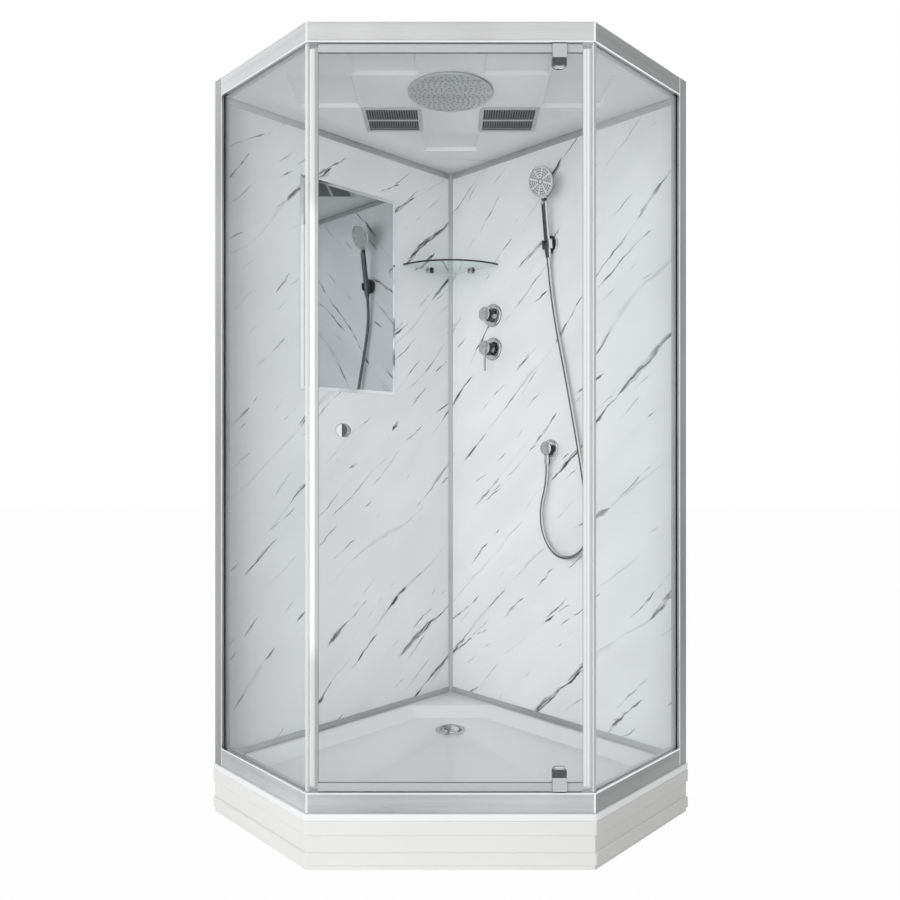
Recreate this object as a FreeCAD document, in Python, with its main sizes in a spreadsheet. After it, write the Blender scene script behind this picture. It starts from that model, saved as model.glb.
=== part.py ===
import FreeCAD, Part
import os
import re
import Sketcher
from math import atan2, degrees, pi, radians, sin, sqrt, tan

# Corner shower cabin with a pentagonal plan. Millimetres, +Z up, front towards -Y.
# The origin is the middle of the footprint on the floor.
# Two wall panels stand along the back, and share the "corner" frame: its origin is the
# outer back corner, x runs along the left wall and y along the right wall.

doc = FreeCAD.newDocument("ShowerCabin")

# Driving dimensions
SIZES = {
    # plan and heights
    "side": 1000, "short_side": 471.5, "cabin_height": 2178,
    "ledge_height": 147, "deck_height": 162, "frame_inset": 5.5,
    "wall_space": 33, "panel_thick": 5, "fit_gap": 0.3, "overrun": 5, "near": 1,
    # tray shell and basin
    "shell_thick": 6, "lip_height": 18, "ledge_width": 37, "tray_corner": 8,
    "basin_margin": 17, "basin_front_margin": 62, "basin_slope": 43, "basin_floor": 129,
    "basin_chamfer": 316, "basin_chamfer_slope": 49,
    # apron
    "apron_gap": 2, "apron_thick": 4, "band_depth": 6, "band_round": 4.5, "apron_reveal": 0.5,
    "band_low_bottom": 14, "band_low_top": 47, "band_high_bottom": 91, "apron_corner": 9,
    # subframe and feet
    "bar_size": 25, "bar_inset": 100, "foot_radius": 22, "foot_thick": 8, "foot_collar": 12.8,
    "stud_radius": 5, "front_foot_x": 207,
    "nut_radius": 8.5, "nut_height": 7, "foot_end_gap": 60, "clip_width": 30, "clip_thick": 3,
    "clip_inset": 260,
    # drain and waste
    "drain_behind_middle": 143, "drain_radius": 51, "drain_thick": 2.5, "drain_hole": 43,
    "strainer_radius": 37, "strainer_height": 10, "cover_radius": 29, "cover_thick": 4,
    "trap_radius": 44, "trap_bottom": 34,
    "pipe_radius": 20, "pipe_wall": 2, "pipe_height": 62, "waste_length": 190,
    "pipe_collar": 26, "collar_reach": 52,
    # aluminium frame
    "rail_depth": 30, "rail_height": 52, "post_width": 40, "channel_depth": 9,
    "channel_offset": 9, "back_post_size": 33, "bracket_size": 22, "bracket_thick": 3,
    # walls and trims
    "trim_height": 20, "trim_thick": 4, "corner_width": 17, "corner_thick": 3,
    # glass
    "glass_thick": 5, "gasket_thick": 2, "door_half": 350, "seal_thick": 9,
    "seal_gap": 2, "door_gap": 14, "seal_height": 9, "door_inset": 10,
    # door hinges and knob
    "pivot_x": 280, "hinge_width": 38.5, "hinge_height": 63, "plate_thick": 9, "pin_radius": 4,
    "pin_reach": 14, "pin_play": 0.05, "knob_x": 277, "knob_z": 1130,
    "knob_radius": 17.5, "knob_length": 25, "knob_neck": 9, "knob_neck_length": 5, "knob_flare": 9.6,
    "knob_screw_radius": 3, "wedge": 3,
    # mirror and shelf
    "mirror_start": 283, "mirror_width": 396, "mirror_drop": 166, "mirror_height": 686,
    "mirror_thick": 5, "mirror_bevel": 2, "shelf_radius": 242, "shelf_drop": 384, "shelf_thick": 6,
    "clamp_along": 115, "clamp_reach": 17, "clamp_width": 24, "clamp_height": 26,
    # valves
    "valve_along": 217, "diverter_drop": 561, "valve_pitch": 121, "rosette_radius": 41,
    "rosette_thick": 8, "knob_out": 50, "valve_knob_radius": 25.5, "collar_radius": 19,
    "collar_length": 10, "spindle_radius": 9, "spindle_length": 30, "lever_length": 57,
    "lever_width": 7.5, "valve_body_radius": 23, "valve_body_length": 27, "inlet_radius": 10.5,
    "inlet_length": 22, "inlet_spread": 30, "manifold_half": 42, "manifold_height": 24,
    "manifold_thick": 23, "supply_radius": 6, "supply_bend": 8.4, "supply_out": 16,
    # hose and hand shower
    "outlet_along": 480, "outlet_drop": 1041, "outlet_radius": 30, "outlet_cap": 22.5,
    "outlet_out": 34, "hose_out": 20, "hose_radius": 7, "hose_bore": 4, "rib_root": 6.3,
    "hose_nut_radius": 10, "hose_nut_length": 18, "holder_along": 485, "holder_drop": 356,
    "holder_radius": 25, "holder_height": 59, "ring_length": 30, "arm_below": 12, "arm_above": 9,
    "handle_radius": 10.5, "handle_out": 27, "handle_length": 165, "handle_lean": 7.4,
    "cone_radius": 13, "cone_length": 46, "flare_length": 9, "neck_length": 55, "neck_radius": 25,
    "head_radius": 50, "head_out": 62, "head_rise": 200, "head_tilt": 17, "head_thick": 22,
    "dome_radius": 40, "dome_depth": 13.75, "face_thick": 3, "face_clearing": 65,
    "button_radius": 6.5, "button_below": 31.5,
    # ceiling
    "ceiling_thick": 4, "plateau_rise": 4, "pocket_rise": 12, "rim_width": 66,
    "pocket_inner_x": 92, "pocket_front_x": 275, "pocket_front_reach": 324,
    "pocket_side_x": 460, "pocket_back_start": 89, "pocket_back_end": 236, "pocket_side_reach": 115,
    "pocket_edge": 22, "head_before_middle": 223, "rain_radius": 125, "rain_thick": 6, "rain_neck": 11,
    "grille_inner_x": 90, "grille_width": 185, "grille_before_middle": 118, "grille_length": 178,
    "grille_thick": 3.5, "grille_round": 25, "slot_length": 66,
    "slot_width": 3.6, "slot_count": 21, "slot_edge": 14, "slot_mid": 18,
}

# Dimensions worked out from the driving ones
LAYOUT = {
    "root2": "sqrt(2)",
    "knob_proud": "knob_length - frame_inset - door_inset",
    "plan_shift": "knob_proud / 2",
    "back_y": "(side + short_side) / root2 / 2 + plan_shift",
    "front_y": "plan_shift - (side + short_side) / root2 / 2",
    "drain_y": "drain_behind_middle + plan_shift",
    "head_y": "plan_shift - head_before_middle",
    "grille_front_y": "plan_shift - grille_before_middle",
    "pocket_front_y": "plan_shift - pocket_front_reach",
    "pocket_side_y": "plan_shift - pocket_side_reach",
    "pocket_back_y": "pocket_back_start + plan_shift",
    "pocket_back_end_y": "pocket_back_end + plan_shift",
    "panel_face": "wall_space + panel_thick",
    "rail_outer": "side - frame_inset",
    "rail_inner": "side - frame_inset - rail_depth",
    "rail_base_top": "ledge_height + rail_height",
    "rail_head_z": "cabin_height - rail_height",
    "ceiling_z": "rail_head_z",
    "mirror_bottom": "ceiling_z - mirror_drop - mirror_height",
    "shelf_z": "ceiling_z - shelf_drop",
    "diverter_z": "ceiling_z - diverter_drop",
    "mixer_z": "diverter_z - valve_pitch",
    "outlet_z": "ceiling_z - outlet_drop",
    "holder_z": "ceiling_z - holder_drop",
    "head_z": "holder_z + head_rise",
    "lip_bottom": "ledge_height - lip_height",
    "floor_under": "basin_floor - shell_thick",
    "bar_top": "floor_under - fit_gap",
    "bar_bottom": "bar_top - bar_size",
    "glass_low": "rail_base_top - channel_depth + 2 * gasket_thick",
    "glass_high": "rail_head_z + channel_depth - 2 * gasket_thick",
    "channel_low": "rail_base_top - channel_depth",
    "channel_high": "rail_head_z + channel_depth",
    "glass_outer": "rail_outer - channel_offset",
    "glass_inner": "glass_outer - glass_thick",
    "door_low": "rail_base_top + door_gap",
    "door_high": "rail_head_z - door_gap",
    "door_front_y": "front_y + frame_inset + door_inset",
    "door_mid_y": "door_front_y + glass_thick / 2",
    "roof_top": "ceiling_z + plateau_rise + ceiling_thick",
    "plateau_z": "ceiling_z + plateau_rise",
    "trim_top_z": "ceiling_z - fit_gap - trim_height",
}

sizesSheet = doc.addObject("Spreadsheet::Sheet", "Sizes")
for row, (name, value) in enumerate(SIZES.items(), 1):
    sizesSheet.set(f"A{row}", name)
    sizesSheet.set(f"B{row}", str(value))
    sizesSheet.setAlias(f"B{row}", name)
doc.recompute()
reader = doc.addObject("App::FeaturePython", "Reader")
layoutSheet = doc.addObject("Spreadsheet::Sheet", "Layout")
known = {name: "Sizes." + name for name in SIZES}


def bind(text):
    """Give a formula the sheet that each of its names is in."""
    return re.sub(r"[A-Za-z_]\w*", lambda word: known.get(word.group(0), word.group(0)), str(text))


for row, (name, formula) in enumerate(LAYOUT.items(), 1):
    layoutSheet.set(f"A{row}", name)
    layoutSheet.set(f"B{row}", "=" + bind(formula))
    layoutSheet.setAlias(f"B{row}", name)
    doc.recompute()
    known[name] = "Layout." + name


def size(text):
    """The number that a formula of named sizes gives."""
    return float(reader.evalExpression(bind(text)))


cornerTurn = FreeCAD.Rotation(-135, 0, 0)
noTurn = FreeCAD.Rotation()
alongX = FreeCAD.Rotation(FreeCAD.Vector(0, 1, 0), 90)
alongY = FreeCAD.Rotation(FreeCAD.Vector(1, 0, 0), -90)
finished = []


def place(item, x, y, z, frame="front", turn=noTurn):
    """Put an item at a point of the front frame or the corner frame, turned in that frame."""
    if frame == "corner":
        x, y = f"(({y}) - ({x})) / root2", f"back_y - (({x}) + ({y})) / root2"
        turn = cornerTurn.multiply(turn)
    item.Placement.Rotation = turn
    item.setExpression("Placement.Base.x", bind(x))
    item.setExpression("Placement.Base.y", bind(y))
    item.setExpression("Placement.Base.z", bind(z))
    return item


def keep(item, label):
    """Name a finished piece, which is then written to its own file."""
    item.Label = label
    finished.append(item)
    return item


def box(x, y, z, frame="front", turn=noTurn):
    """A block between two bounds on each axis, given as (low, high) formulas."""
    item = doc.addObject("Part::Box", "Block")
    item.setExpression("Length", bind(f"({x[1]}) - ({x[0]})"))
    item.setExpression("Width", bind(f"({y[1]}) - ({y[0]})"))
    item.setExpression("Height", bind(f"({z[1]}) - ({z[0]})"))
    return place(item, x[0], y[0], z[0], frame, turn)


def rod(radius, length, x, y, z, frame="front", turn=noTurn):
    """A round bar that starts at a point and runs along its own z axis."""
    item = doc.addObject("Part::Cylinder", "Rod")
    item.setExpression("Radius", bind(radius))
    item.setExpression("Height", bind(length))
    return place(item, x, y, z, frame, turn)


def cone(low, high, length, x, y, z, frame="front", turn=noTurn):
    """A tapered round bar."""
    item = doc.addObject("Part::Cone", "Taper")
    item.setExpression("Radius1", bind(low))
    item.setExpression("Radius2", bind(high))
    item.setExpression("Height", bind(length))
    return place(item, x, y, z, frame, turn)


def sphere(radius):
    """A ball that the caller puts in its place."""
    item = doc.addObject("Part::Sphere", "Ball")
    item.setExpression("Radius", bind(radius))
    return item


def join(*items):
    """Several shapes as one solid."""
    item = doc.addObject("Part::MultiFuse", "Joined")
    item.Shapes = list(items)
    item.Refine = True
    return item


def group(*items):
    """Separate solids that share one name."""
    item = doc.addObject("Part::Compound", "Group")
    item.Links = list(items)
    return item


def cut(base, *tools):
    """A shape with others taken out of it."""
    item = doc.addObject("Part::Cut", "Trimmed")
    item.Base = base
    item.Tool = tools[0] if len(tools) == 1 else join(*tools)
    item.Refine = True
    return item


def common(first, second):
    """What two shapes share."""
    item = doc.addObject("Part::Common", "Shared")
    item.Base = first
    item.Tool = second
    return item


def soften(base, radius, chosen):
    """Round the edges of a shape that a test picks."""
    doc.recompute()
    reach = size(radius)
    edges = [(number, reach, reach) for number, edge in enumerate(base.Shape.Edges, 1) if chosen(edge)]
    item = doc.addObject("Part::Fillet", "Softened")
    item.Base = base
    item.Edges = edges
    return item


def outline(body, points, plane="XY_Plane", offset="0", name="Outline"):
    """A closed sketch through points given as pairs of formulas."""
    sketch = body.newObject("Sketcher::SketchObject", name)
    support = [item for item in body.Origin.OriginFeatures if item.Role == plane][0]
    sketch.AttachmentSupport = [(support, "")]
    sketch.MapMode = "FlatFace"
    sketch.setExpression("AttachmentOffset.Base.z", bind(offset))
    corners = [FreeCAD.Vector(size(x), size(y), 0) for x, y in points]
    count = len(points)
    for number in range(count):
        sketch.addGeometry(Part.LineSegment(corners[number], corners[(number + 1) % count]), False)
    for number in range(count):
        sketch.addConstraint(Sketcher.Constraint("Coincident", number, 2, (number + 1) % count, 1))
    for number, point in enumerate(points):
        for kind, formula in zip(("DistanceX", "DistanceY"), point):
            limit = Sketcher.Constraint(kind, -1, 1, number, 1, size(formula))
            sketch.setExpression(f"Constraints[{sketch.addConstraint(limit)}]", bind(formula))
    return sketch


def plate(points, low, high, frame="front"):
    """A flat piece of an outline between two heights."""
    body = doc.addObject("PartDesign::Body", "Plate")
    sketch = outline(body, points, offset=low)
    doc.recompute()
    pad = body.newObject("PartDesign::Pad", "Pad")
    pad.Profile = sketch
    pad.setExpression("Length", bind(f"({high}) - ({low})"))
    return place(body, "0", "0", "0", frame)


def loft(lower, upper, low, high, frame="front"):
    """A tapered piece between two outlines with as many points."""
    body = doc.addObject("PartDesign::Body", "Tapered")
    first = outline(body, lower, offset=low)
    second = outline(body, upper, offset=high)
    doc.recompute()
    feature = body.newObject("PartDesign::AdditiveLoft", "Loft")
    feature.Profile = first
    feature.Sections = [second]
    feature.Ruled = True
    return place(body, "0", "0", "0", frame)


def turned(points, x, y, z, frame="front", turn=noTurn):
    """A round piece, turned from (radius, height) points about its own z axis."""
    body = doc.addObject("PartDesign::Body", "Turned")
    sketch = outline(body, points, plane="XZ_Plane")
    doc.recompute()
    feature = body.newObject("PartDesign::Revolution", "Revolution")
    feature.Profile = sketch
    feature.ReferenceAxis = (sketch, ["V_Axis"])
    feature.Angle = 360
    return place(body, x, y, z, frame, turn)


def mirrored(points):
    """The same outline on the other wall of the corner frame."""
    return [(second, first) for first, second in reversed(points)]


def frontLine(inset):
    """Corners of the three exposed sides at an inset, from the left wall to the right."""
    edge = f"(side - ({inset}))"
    turn = f"(short_side - ({inset}) * (root2 - 1))"
    return [(edge, "0"), (edge, turn), (turn, edge), ("0", edge)]


def pentagon(inset, wall="0"):
    """The plan outline at an inset from the exposed sides and another from the walls."""
    line = frontLine(inset)
    return [(wall, wall), (line[0][0], wall), line[1], line[2], (wall, line[3][1])]


def basin(wall, front, chamfer):
    """The six sided outline of the basin."""
    line = frontLine(front)
    start = f"{chamfer} - ({wall})"
    return [(start, wall), (line[0][0], wall), line[1], line[2], (wall, line[3][1]), (wall, start)]


def wrap(outer, inner):
    """An outline that goes round the three exposed sides between two insets."""
    out, back = frontLine(outer), frontLine(inner)
    return out + list(reversed(back))


def insetOf(point):
    """How far a point lies inside the exposed sides."""
    drop = (size("back_y") - point.y) * sqrt(2)
    across = point.x * sqrt(2)
    along, beside = (drop - across) / 2, (drop + across) / 2
    chamfer = (size("side + short_side") - along - beside) / sqrt(2)
    return min(size("side") - along, size("side") - beside, chamfer)


def outerCorner(edge):
    """Whether an edge is an upright one at a front corner of the outside."""
    point = edge.CenterOfMass
    upright = edge.BoundBox.ZLength > size("fit_gap") and abs(point.x) < size("side / 2")
    return upright and insetOf(point) < size("band_depth / 2")


def outerRim(edge):
    """Whether an edge runs level along the outside."""
    return edge.BoundBox.ZLength < size("fit_gap") and insetOf(edge.CenterOfMass) < size("band_depth / 2")


def makeTray():
    """White shell: ledge for the frame, raised deck and a basin that slopes to its floor."""
    edge = "panel_face + basin_margin"
    floorEdge = edge + " + basin_slope"
    floorFront = "basin_front_margin + basin_slope"
    floorChamfer = "basin_chamfer + basin_chamfer_slope"
    slab = plate(pentagon("0"), "lip_bottom", "ledge_height", "corner")
    slab = soften(slab, "tray_corner", outerCorner)
    deck = plate(pentagon("ledge_width"), "lip_bottom", "deck_height", "corner")
    under = plate(pentagon("shell_thick", "shell_thick"), "lip_bottom - overrun",
                  "ledge_height - shell_thick", "corner")
    deckUnder = plate(pentagon("ledge_width + shell_thick", "shell_thick"), "lip_bottom - overrun",
                      "deck_height - shell_thick", "corner")
    bowl = loft(basin(floorEdge + " - shell_thick", floorFront + " - shell_thick",
                      "(" + floorChamfer + " - 2 * shell_thick)"),
                basin(edge + " - shell_thick", "basin_front_margin - shell_thick",
                      "(basin_chamfer - 2 * shell_thick)"),
                "floor_under", "deck_height - shell_thick / 2", "corner")
    hollow = loft(basin(floorEdge, floorFront, "(" + floorChamfer + ")"),
                  basin(edge, "basin_front_margin", "basin_chamfer"),
                  "basin_floor", "deck_height", "corner")
    hole = rod("drain_hole", "2 * shell_thick + overrun", "0", "drain_y", "floor_under - overrun")
    shell = join(cut(join(slab, deck), under, deckUnder), bowl)
    keep(cut(shell, hollow, hole), "tray")


def makeApron():
    """Panel round the exposed sides, with a raised band along its top and its foot."""
    sheet = plate(wrap("apron_reveal + band_depth", "apron_reveal + band_depth + apron_thick"),
                  "apron_gap", "lip_bottom", "corner")
    bands = []
    for low, high in (("band_low_bottom", "band_low_top"), ("band_high_bottom", "lip_bottom")):
        raised = plate(wrap("apron_reveal", "apron_reveal + band_depth + apron_thick / 2"),
                       low, high, "corner")
        raised = soften(raised, "apron_corner", outerCorner)
        bands.append(soften(raised, "band_round", outerRim))
    keep(join(sheet, *bands), "apron_panel")
    inner = "apron_reveal + band_depth + apron_thick"
    height = ("bar_top - clip_thick", "bar_top")
    half = "clip_width / 2"
    clips = [box((f"-{half}", half), (f"front_y + {inner}", "front_y + bar_inset"), height)]
    beside = (f"clip_inset - {half}", f"clip_inset + {half}")
    reach = ("side - bar_inset", f"side - ({inner})")
    clips.append(box(reach, beside, height, "corner"))
    clips.append(box(beside, reach, height, "corner"))
    keep(group(*clips), "apron_clips")


def makeSubframe():
    """Steel bars under the basin floor, on feet that screw up and down."""
    inner = "bar_inset + bar_size"
    out, back = frontLine("bar_inset"), frontLine(inner)
    middle = "bar_inset + bar_size / 2"
    line = frontLine(middle)
    feet = [("2 * bar_inset", middle), (line[0][0], "2 * bar_inset + foot_end_gap")]
    feet += mirrored(feet)
    frontFeet = [("front_foot_x", "front_y + " + middle), ("-front_foot_x", "front_y + " + middle)]
    spots = [(x, y, "corner") for x, y in feet] + [(x, y, "front") for x, y in frontFeet]
    holes = [rod("stud_radius + fit_gap", "bar_size + 2 * overrun", x, y, "bar_bottom - overrun", frame)
             for x, y, frame in spots]
    doc.recompute()
    wallBar = [("bar_inset", "bar_inset"), (back[0][0], "bar_inset"), (back[0][0], inner), (inner, inner)]
    sideBar = [(back[0][0], "bar_inset"), (out[0][0], "bar_inset"), out[1], back[1]]
    front = [out[1], out[2], back[2], back[1]]

    def bar(points, low="bar_bottom"):
        return plate(points, low, "bar_top", "corner")

    keep(cut(bar(front), holes[4], holes[5]), "subframe_front")
    keep(group(cut(bar(wallBar), holes[0]), cut(bar(sideBar), holes[1])), "subframe_left")
    keep(group(cut(bar(mirrored(wallBar)), holes[3]), cut(bar(mirrored(sideBar)), holes[2])),
         "subframe_right")
    studTop = "bar_top - overrun"
    footNeck = "stud_radius + 2 * fit_gap + apron_thick"
    profile = [("0", "0"), ("foot_radius", "0"), ("foot_radius", "foot_thick / 2"),
               (footNeck, "foot_thick"), (footNeck, "foot_collar"),
               ("stud_radius", "foot_collar"), ("stud_radius", studTop), ("0", studTop)]
    keep(group(*[turned(profile, x, y, "0", frame) for x, y, frame in spots]), "levelling_feet")
    nuts = []
    for x, y, frame in spots:
        nut = doc.addObject("Part::Prism", "Nut")
        nut.Polygon = 6
        nut.setExpression("Circumradius", bind("nut_radius"))
        nut.setExpression("Height", bind("nut_height"))
        place(nut, x, y, "bar_bottom - nut_height", frame)
        bore = rod("stud_radius + pin_play", "nut_height + 2 * overrun", x, y,
                   "bar_bottom - nut_height - overrun", frame)
        nuts.append(cut(nut, bore))
    keep(group(*nuts), "foot_locknuts")


def makeDrain():
    """Drain flange in the basin floor, strainer ring with three arms, lift-out cover and trap."""
    neck = "drain_hole - fit_gap"
    bore = "strainer_radius + fit_gap"
    low = "-shell_thick - 3 * drain_thick"
    flange = [(bore, low), (neck, low), (neck, "0"), ("drain_radius", "0"),
              ("drain_radius", "drain_thick / 2"), ("drain_radius - drain_thick", "drain_thick"),
              (bore, "drain_thick")]
    keep(turned(flange, "0", "drain_y", "basin_floor"), "drain_flange")
    rim = "strainer_radius - 2 * drain_thick"
    ring = [(rim, "-strainer_height"), ("strainer_radius", "-strainer_height"),
            ("strainer_radius", "drain_thick"), ("strainer_radius - drain_thick", "2 * drain_thick"),
            (rim, "2 * drain_thick")]
    parts = [turned(ring, "0", "drain_y", "basin_floor")]
    hub = rod("2 * cover_thick", "strainer_height + drain_thick", "0", "drain_y",
              "basin_floor - strainer_height")
    for step in range(3):
        arm = doc.addObject("Part::Box", "Arm")
        arm.setExpression("Length", bind("strainer_radius - drain_thick"))
        arm.setExpression("Width", bind("2 * cover_thick"))
        arm.setExpression("Height", bind("cover_thick"))
        arm.setExpression("Placement.Base.x", bind(f"cover_thick * sin({90 + 120 * step})"))
        arm.setExpression("Placement.Base.y", bind(f"drain_y - cover_thick * cos({90 + 120 * step})"))
        arm.setExpression("Placement.Base.z", bind("basin_floor - cover_thick"))
        arm.Placement.Rotation = FreeCAD.Rotation(90 + 120 * step, 0, 0)
        parts.append(arm)
    stem = rod("cover_thick + pin_play", "2 * strainer_height", "0", "drain_y",
               "basin_floor - 1.5 * strainer_height")
    keep(cut(join(hub, *parts), stem), "drain_strainer")
    seat = "drain_thick + fit_gap"
    top = seat + " + cover_thick"
    cover = [("0", "-strainer_height / 2"), ("cover_thick", "-strainer_height / 2"), ("cover_thick", seat),
             ("cover_radius - cover_thick / 2", seat), ("cover_radius", seat + " + cover_thick / 2"),
             ("cover_radius - cover_thick", top), ("cover_radius / 2", top + " + cover_thick / 3"),
             ("0", top + " + cover_thick / 2")]
    keep(turned(cover, "0", "drain_y", "basin_floor"), "drain_cover")
    trapTop = "basin_floor - shell_thick - 3 * drain_thick - fit_gap"
    cup = rod("trap_radius", f"{trapTop} - trap_bottom", "0", "drain_y", "trap_bottom")
    outlet = rod("pipe_radius", "waste_length", "0", "drain_y", "pipe_height", turn=alongY)
    inside = rod("trap_radius - pipe_wall", f"{trapTop} - trap_bottom", "0", "drain_y",
                 "trap_bottom + pipe_wall")
    bore = rod("pipe_radius - pipe_wall", "waste_length + overrun", "0", "drain_y", "pipe_height",
               turn=alongY)
    collar = rod("pipe_collar", "collar_reach", "0", "drain_y", "pipe_height", turn=alongY)
    keep(cut(join(cup, collar, outlet), inside, bore), "waste_trap")


def makeFrame():
    """Aluminium rails at foot and head, with glass channels, and a post at each wall."""
    out, back = frontLine("frame_inset"), frontLine("frame_inset + rail_depth")
    wallEnd = "post_width"
    left = [(out[0][0], wallEnd), out[1], back[1], (back[0][0], wallEnd)]
    outlines = {"front": [out[1], out[2], back[2], back[1]], "left": left, "right": mirrored(left)}
    glass = frontLine("frame_inset + channel_offset - gasket_thick")
    glassBack = frontLine("frame_inset + channel_offset + glass_thick + gasket_thick")
    slotLeft = [(glass[0][0], wallEnd), glass[1], glassBack[1], (glassBack[0][0], wallEnd)]
    slots = {"left": slotLeft, "right": mirrored(slotLeft)}
    pinY = "door_mid_y"
    for level, low, high in (("bottom", "ledge_height", "rail_base_top"),
                             ("top", "rail_head_z", "cabin_height")):
        for name, points in outlines.items():
            rail = plate(points, low, high, "corner")
            if name == "front":
                start = "rail_base_top - pin_reach" if level == "bottom" else "rail_head_z"
                hole = rod("pin_radius + pin_play", "pin_reach", "pivot_x", pinY, start)
                rail = cut(rail, hole)
            else:
                slotLow = "channel_low" if level == "bottom" else "rail_head_z"
                slotHigh = "rail_base_top" if level == "bottom" else "channel_high"
                rail = cut(rail, plate(slots[name], slotLow, slotHigh, "corner"))
            keep(rail, f"rail_{level}_{name}")
    for name, flip in (("left", False), ("right", True)):
        x, y = ("rail_inner", "rail_outer"), ("0", "post_width")
        channelX = ("glass_inner - gasket_thick", "glass_outer + gasket_thick")
        channelY = ("post_width - channel_depth", "post_width")
        if flip:
            x, y, channelX, channelY = y, x, channelY, channelX
        post = box(x, y, ("ledge_height", "cabin_height"), "corner")
        groove = box(channelX, channelY, ("channel_low", "channel_high"), "corner")
        keep(cut(post, groove), f"wall_post_{name}")
    corner = box(("0", "back_post_size"), ("0", "back_post_size"), ("deck_height", "ceiling_z - fit_gap"),
                 "corner")
    keep(corner, "back_post")
    height = ("roof_top + bracket_thick", "roof_top + bracket_thick + bracket_size")
    out = frontLine("frame_inset + rail_depth")
    back = frontLine("frame_inset + rail_depth + bracket_thick")
    reach = "bracket_size"
    half = "bracket_size / root2"
    frontBend = [(out[1][0], f"{out[1][1]} - {reach}"), out[1],
                 (f"{out[1][0]} - {half}", f"{out[1][1]} + {half}"),
                 (f"{back[1][0]} - {half}", f"{back[1][1]} + {half}"), back[1],
                 (back[1][0], f"{back[1][1]} - {reach}")]
    wallPlate = [(out[0][0], f"{wallEnd} - {reach} / 2"), (out[0][0], f"{wallEnd} + {reach}"),
                 (back[0][0], f"{wallEnd} + {reach}"), (back[0][0], f"{wallEnd} - {reach} / 2")]
    plates = [plate(points, *height, "corner")
              for points in (frontBend, mirrored(frontBend), wallPlate, mirrored(wallPlate))]
    keep(group(*plates), "rail_corner_brackets")


def makeWalls():
    """Wall panels on the back post, their inner corner profile and level trims."""
    face = "panel_face"
    height = ("deck_height", "ceiling_z - fit_gap")
    left = box(("wall_space", "rail_inner"), ("wall_space", face), height, "corner")
    right = box(("wall_space", face), (face, "rail_inner"), height, "corner")
    holes = [rod("valve_body_radius + fit_gap", "panel_thick + 2 * overrun", "wall_space - overrun",
                 f"{face} + valve_along", z, "corner", alongX) for z in ("diverter_z", "mixer_z")]
    holes.append(rod("hose_nut_radius + fit_gap", "panel_thick + 2 * overrun", "wall_space - overrun",
                     f"{face} + outlet_along", "outlet_z", "corner", alongX))
    keep(left, "wall_panel_left")
    keep(cut(right, *holes), "wall_panel_right")
    leg = f"{face} + corner_width / root2"
    keep(plate([(face, face), (leg, face), (leg, f"{face} + corner_thick / 3"),
                (f"{face} + corner_thick / 3", leg), (face, leg)], *height, "corner"), "corner_profile")
    across = (face, f"{face} + trim_thick")
    for label, low in (("wall_trims_bottom", "deck_height"), ("wall_trims_top", "trim_top_z")):
        strips = []
        for along, beside in (((leg, "rail_inner"), across), (across, (leg, "rail_inner"))):
            strip = box(along, beside, (low, f"{low} + trim_height"), "corner")
            strips.append(soften(strip, "trim_thick / 3", lambda edge: edge.Length > size("side / 2")
                                 and nearWall(edge.CenterOfMass) > size(f"{face} + trim_thick / 2")))
        keep(group(*strips), label)


def nearWall(point):
    """How far a point stands out from the nearer outer wall plane."""
    drop = (size("back_y") - point.y) * sqrt(2)
    across = abs(point.x) * sqrt(2)
    return (drop - across) / 2


def makeSideGlass():
    """Fixed panes in the rails and posts, with their gaskets and front edge strips."""
    outer = frontLine("frame_inset + channel_offset")
    gasketOuter = frontLine("frame_inset + channel_offset - gasket_thick")
    gasketInner = frontLine("frame_inset + channel_offset + glass_thick + gasket_thick")
    start = "post_width - channel_depth"
    end = f"{outer[1][1]} - seal_height"
    glass, strips, gaskets = [], [], []
    for flip in (False, True):
        x, y = ("glass_inner", "glass_outer"), (f"{start} + gasket_thick", end)
        spare = (x[0] + " - gasket_thick", x[1] + " + gasket_thick")
        outside = box(*((spare, (start, end)) if not flip else ((start, end), spare)),
                      ("channel_low", "channel_high"), "corner")
        window = box(*((spare, ("post_width", f"{end} + overrun")) if not flip
                       else (("post_width", f"{end} + overrun"), spare)),
                     ("rail_base_top", "rail_head_z"), "corner")
        if flip:
            x, y = y, x
        pane = box(x, y, ("glass_low", "glass_high"), "corner")
        glass.append(pane)
        core = box(x, y, ("glass_low", "glass_high"), "corner")
        gaskets.append(cut(outside, window, core))
        strip = [(gasketOuter[1][0], end), gasketOuter[1], gasketInner[1], (gasketInner[1][0], end)]
        strip = mirrored(strip) if flip else strip
        strips.append(plate(strip, "rail_base_top", "rail_head_z", "corner"))
    keep(glass[0], "side_glass_left")
    keep(glass[1], "side_glass_right")
    keep(group(*gaskets), "glass_gaskets")
    keep(group(*strips), "side_edge_seals")


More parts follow.
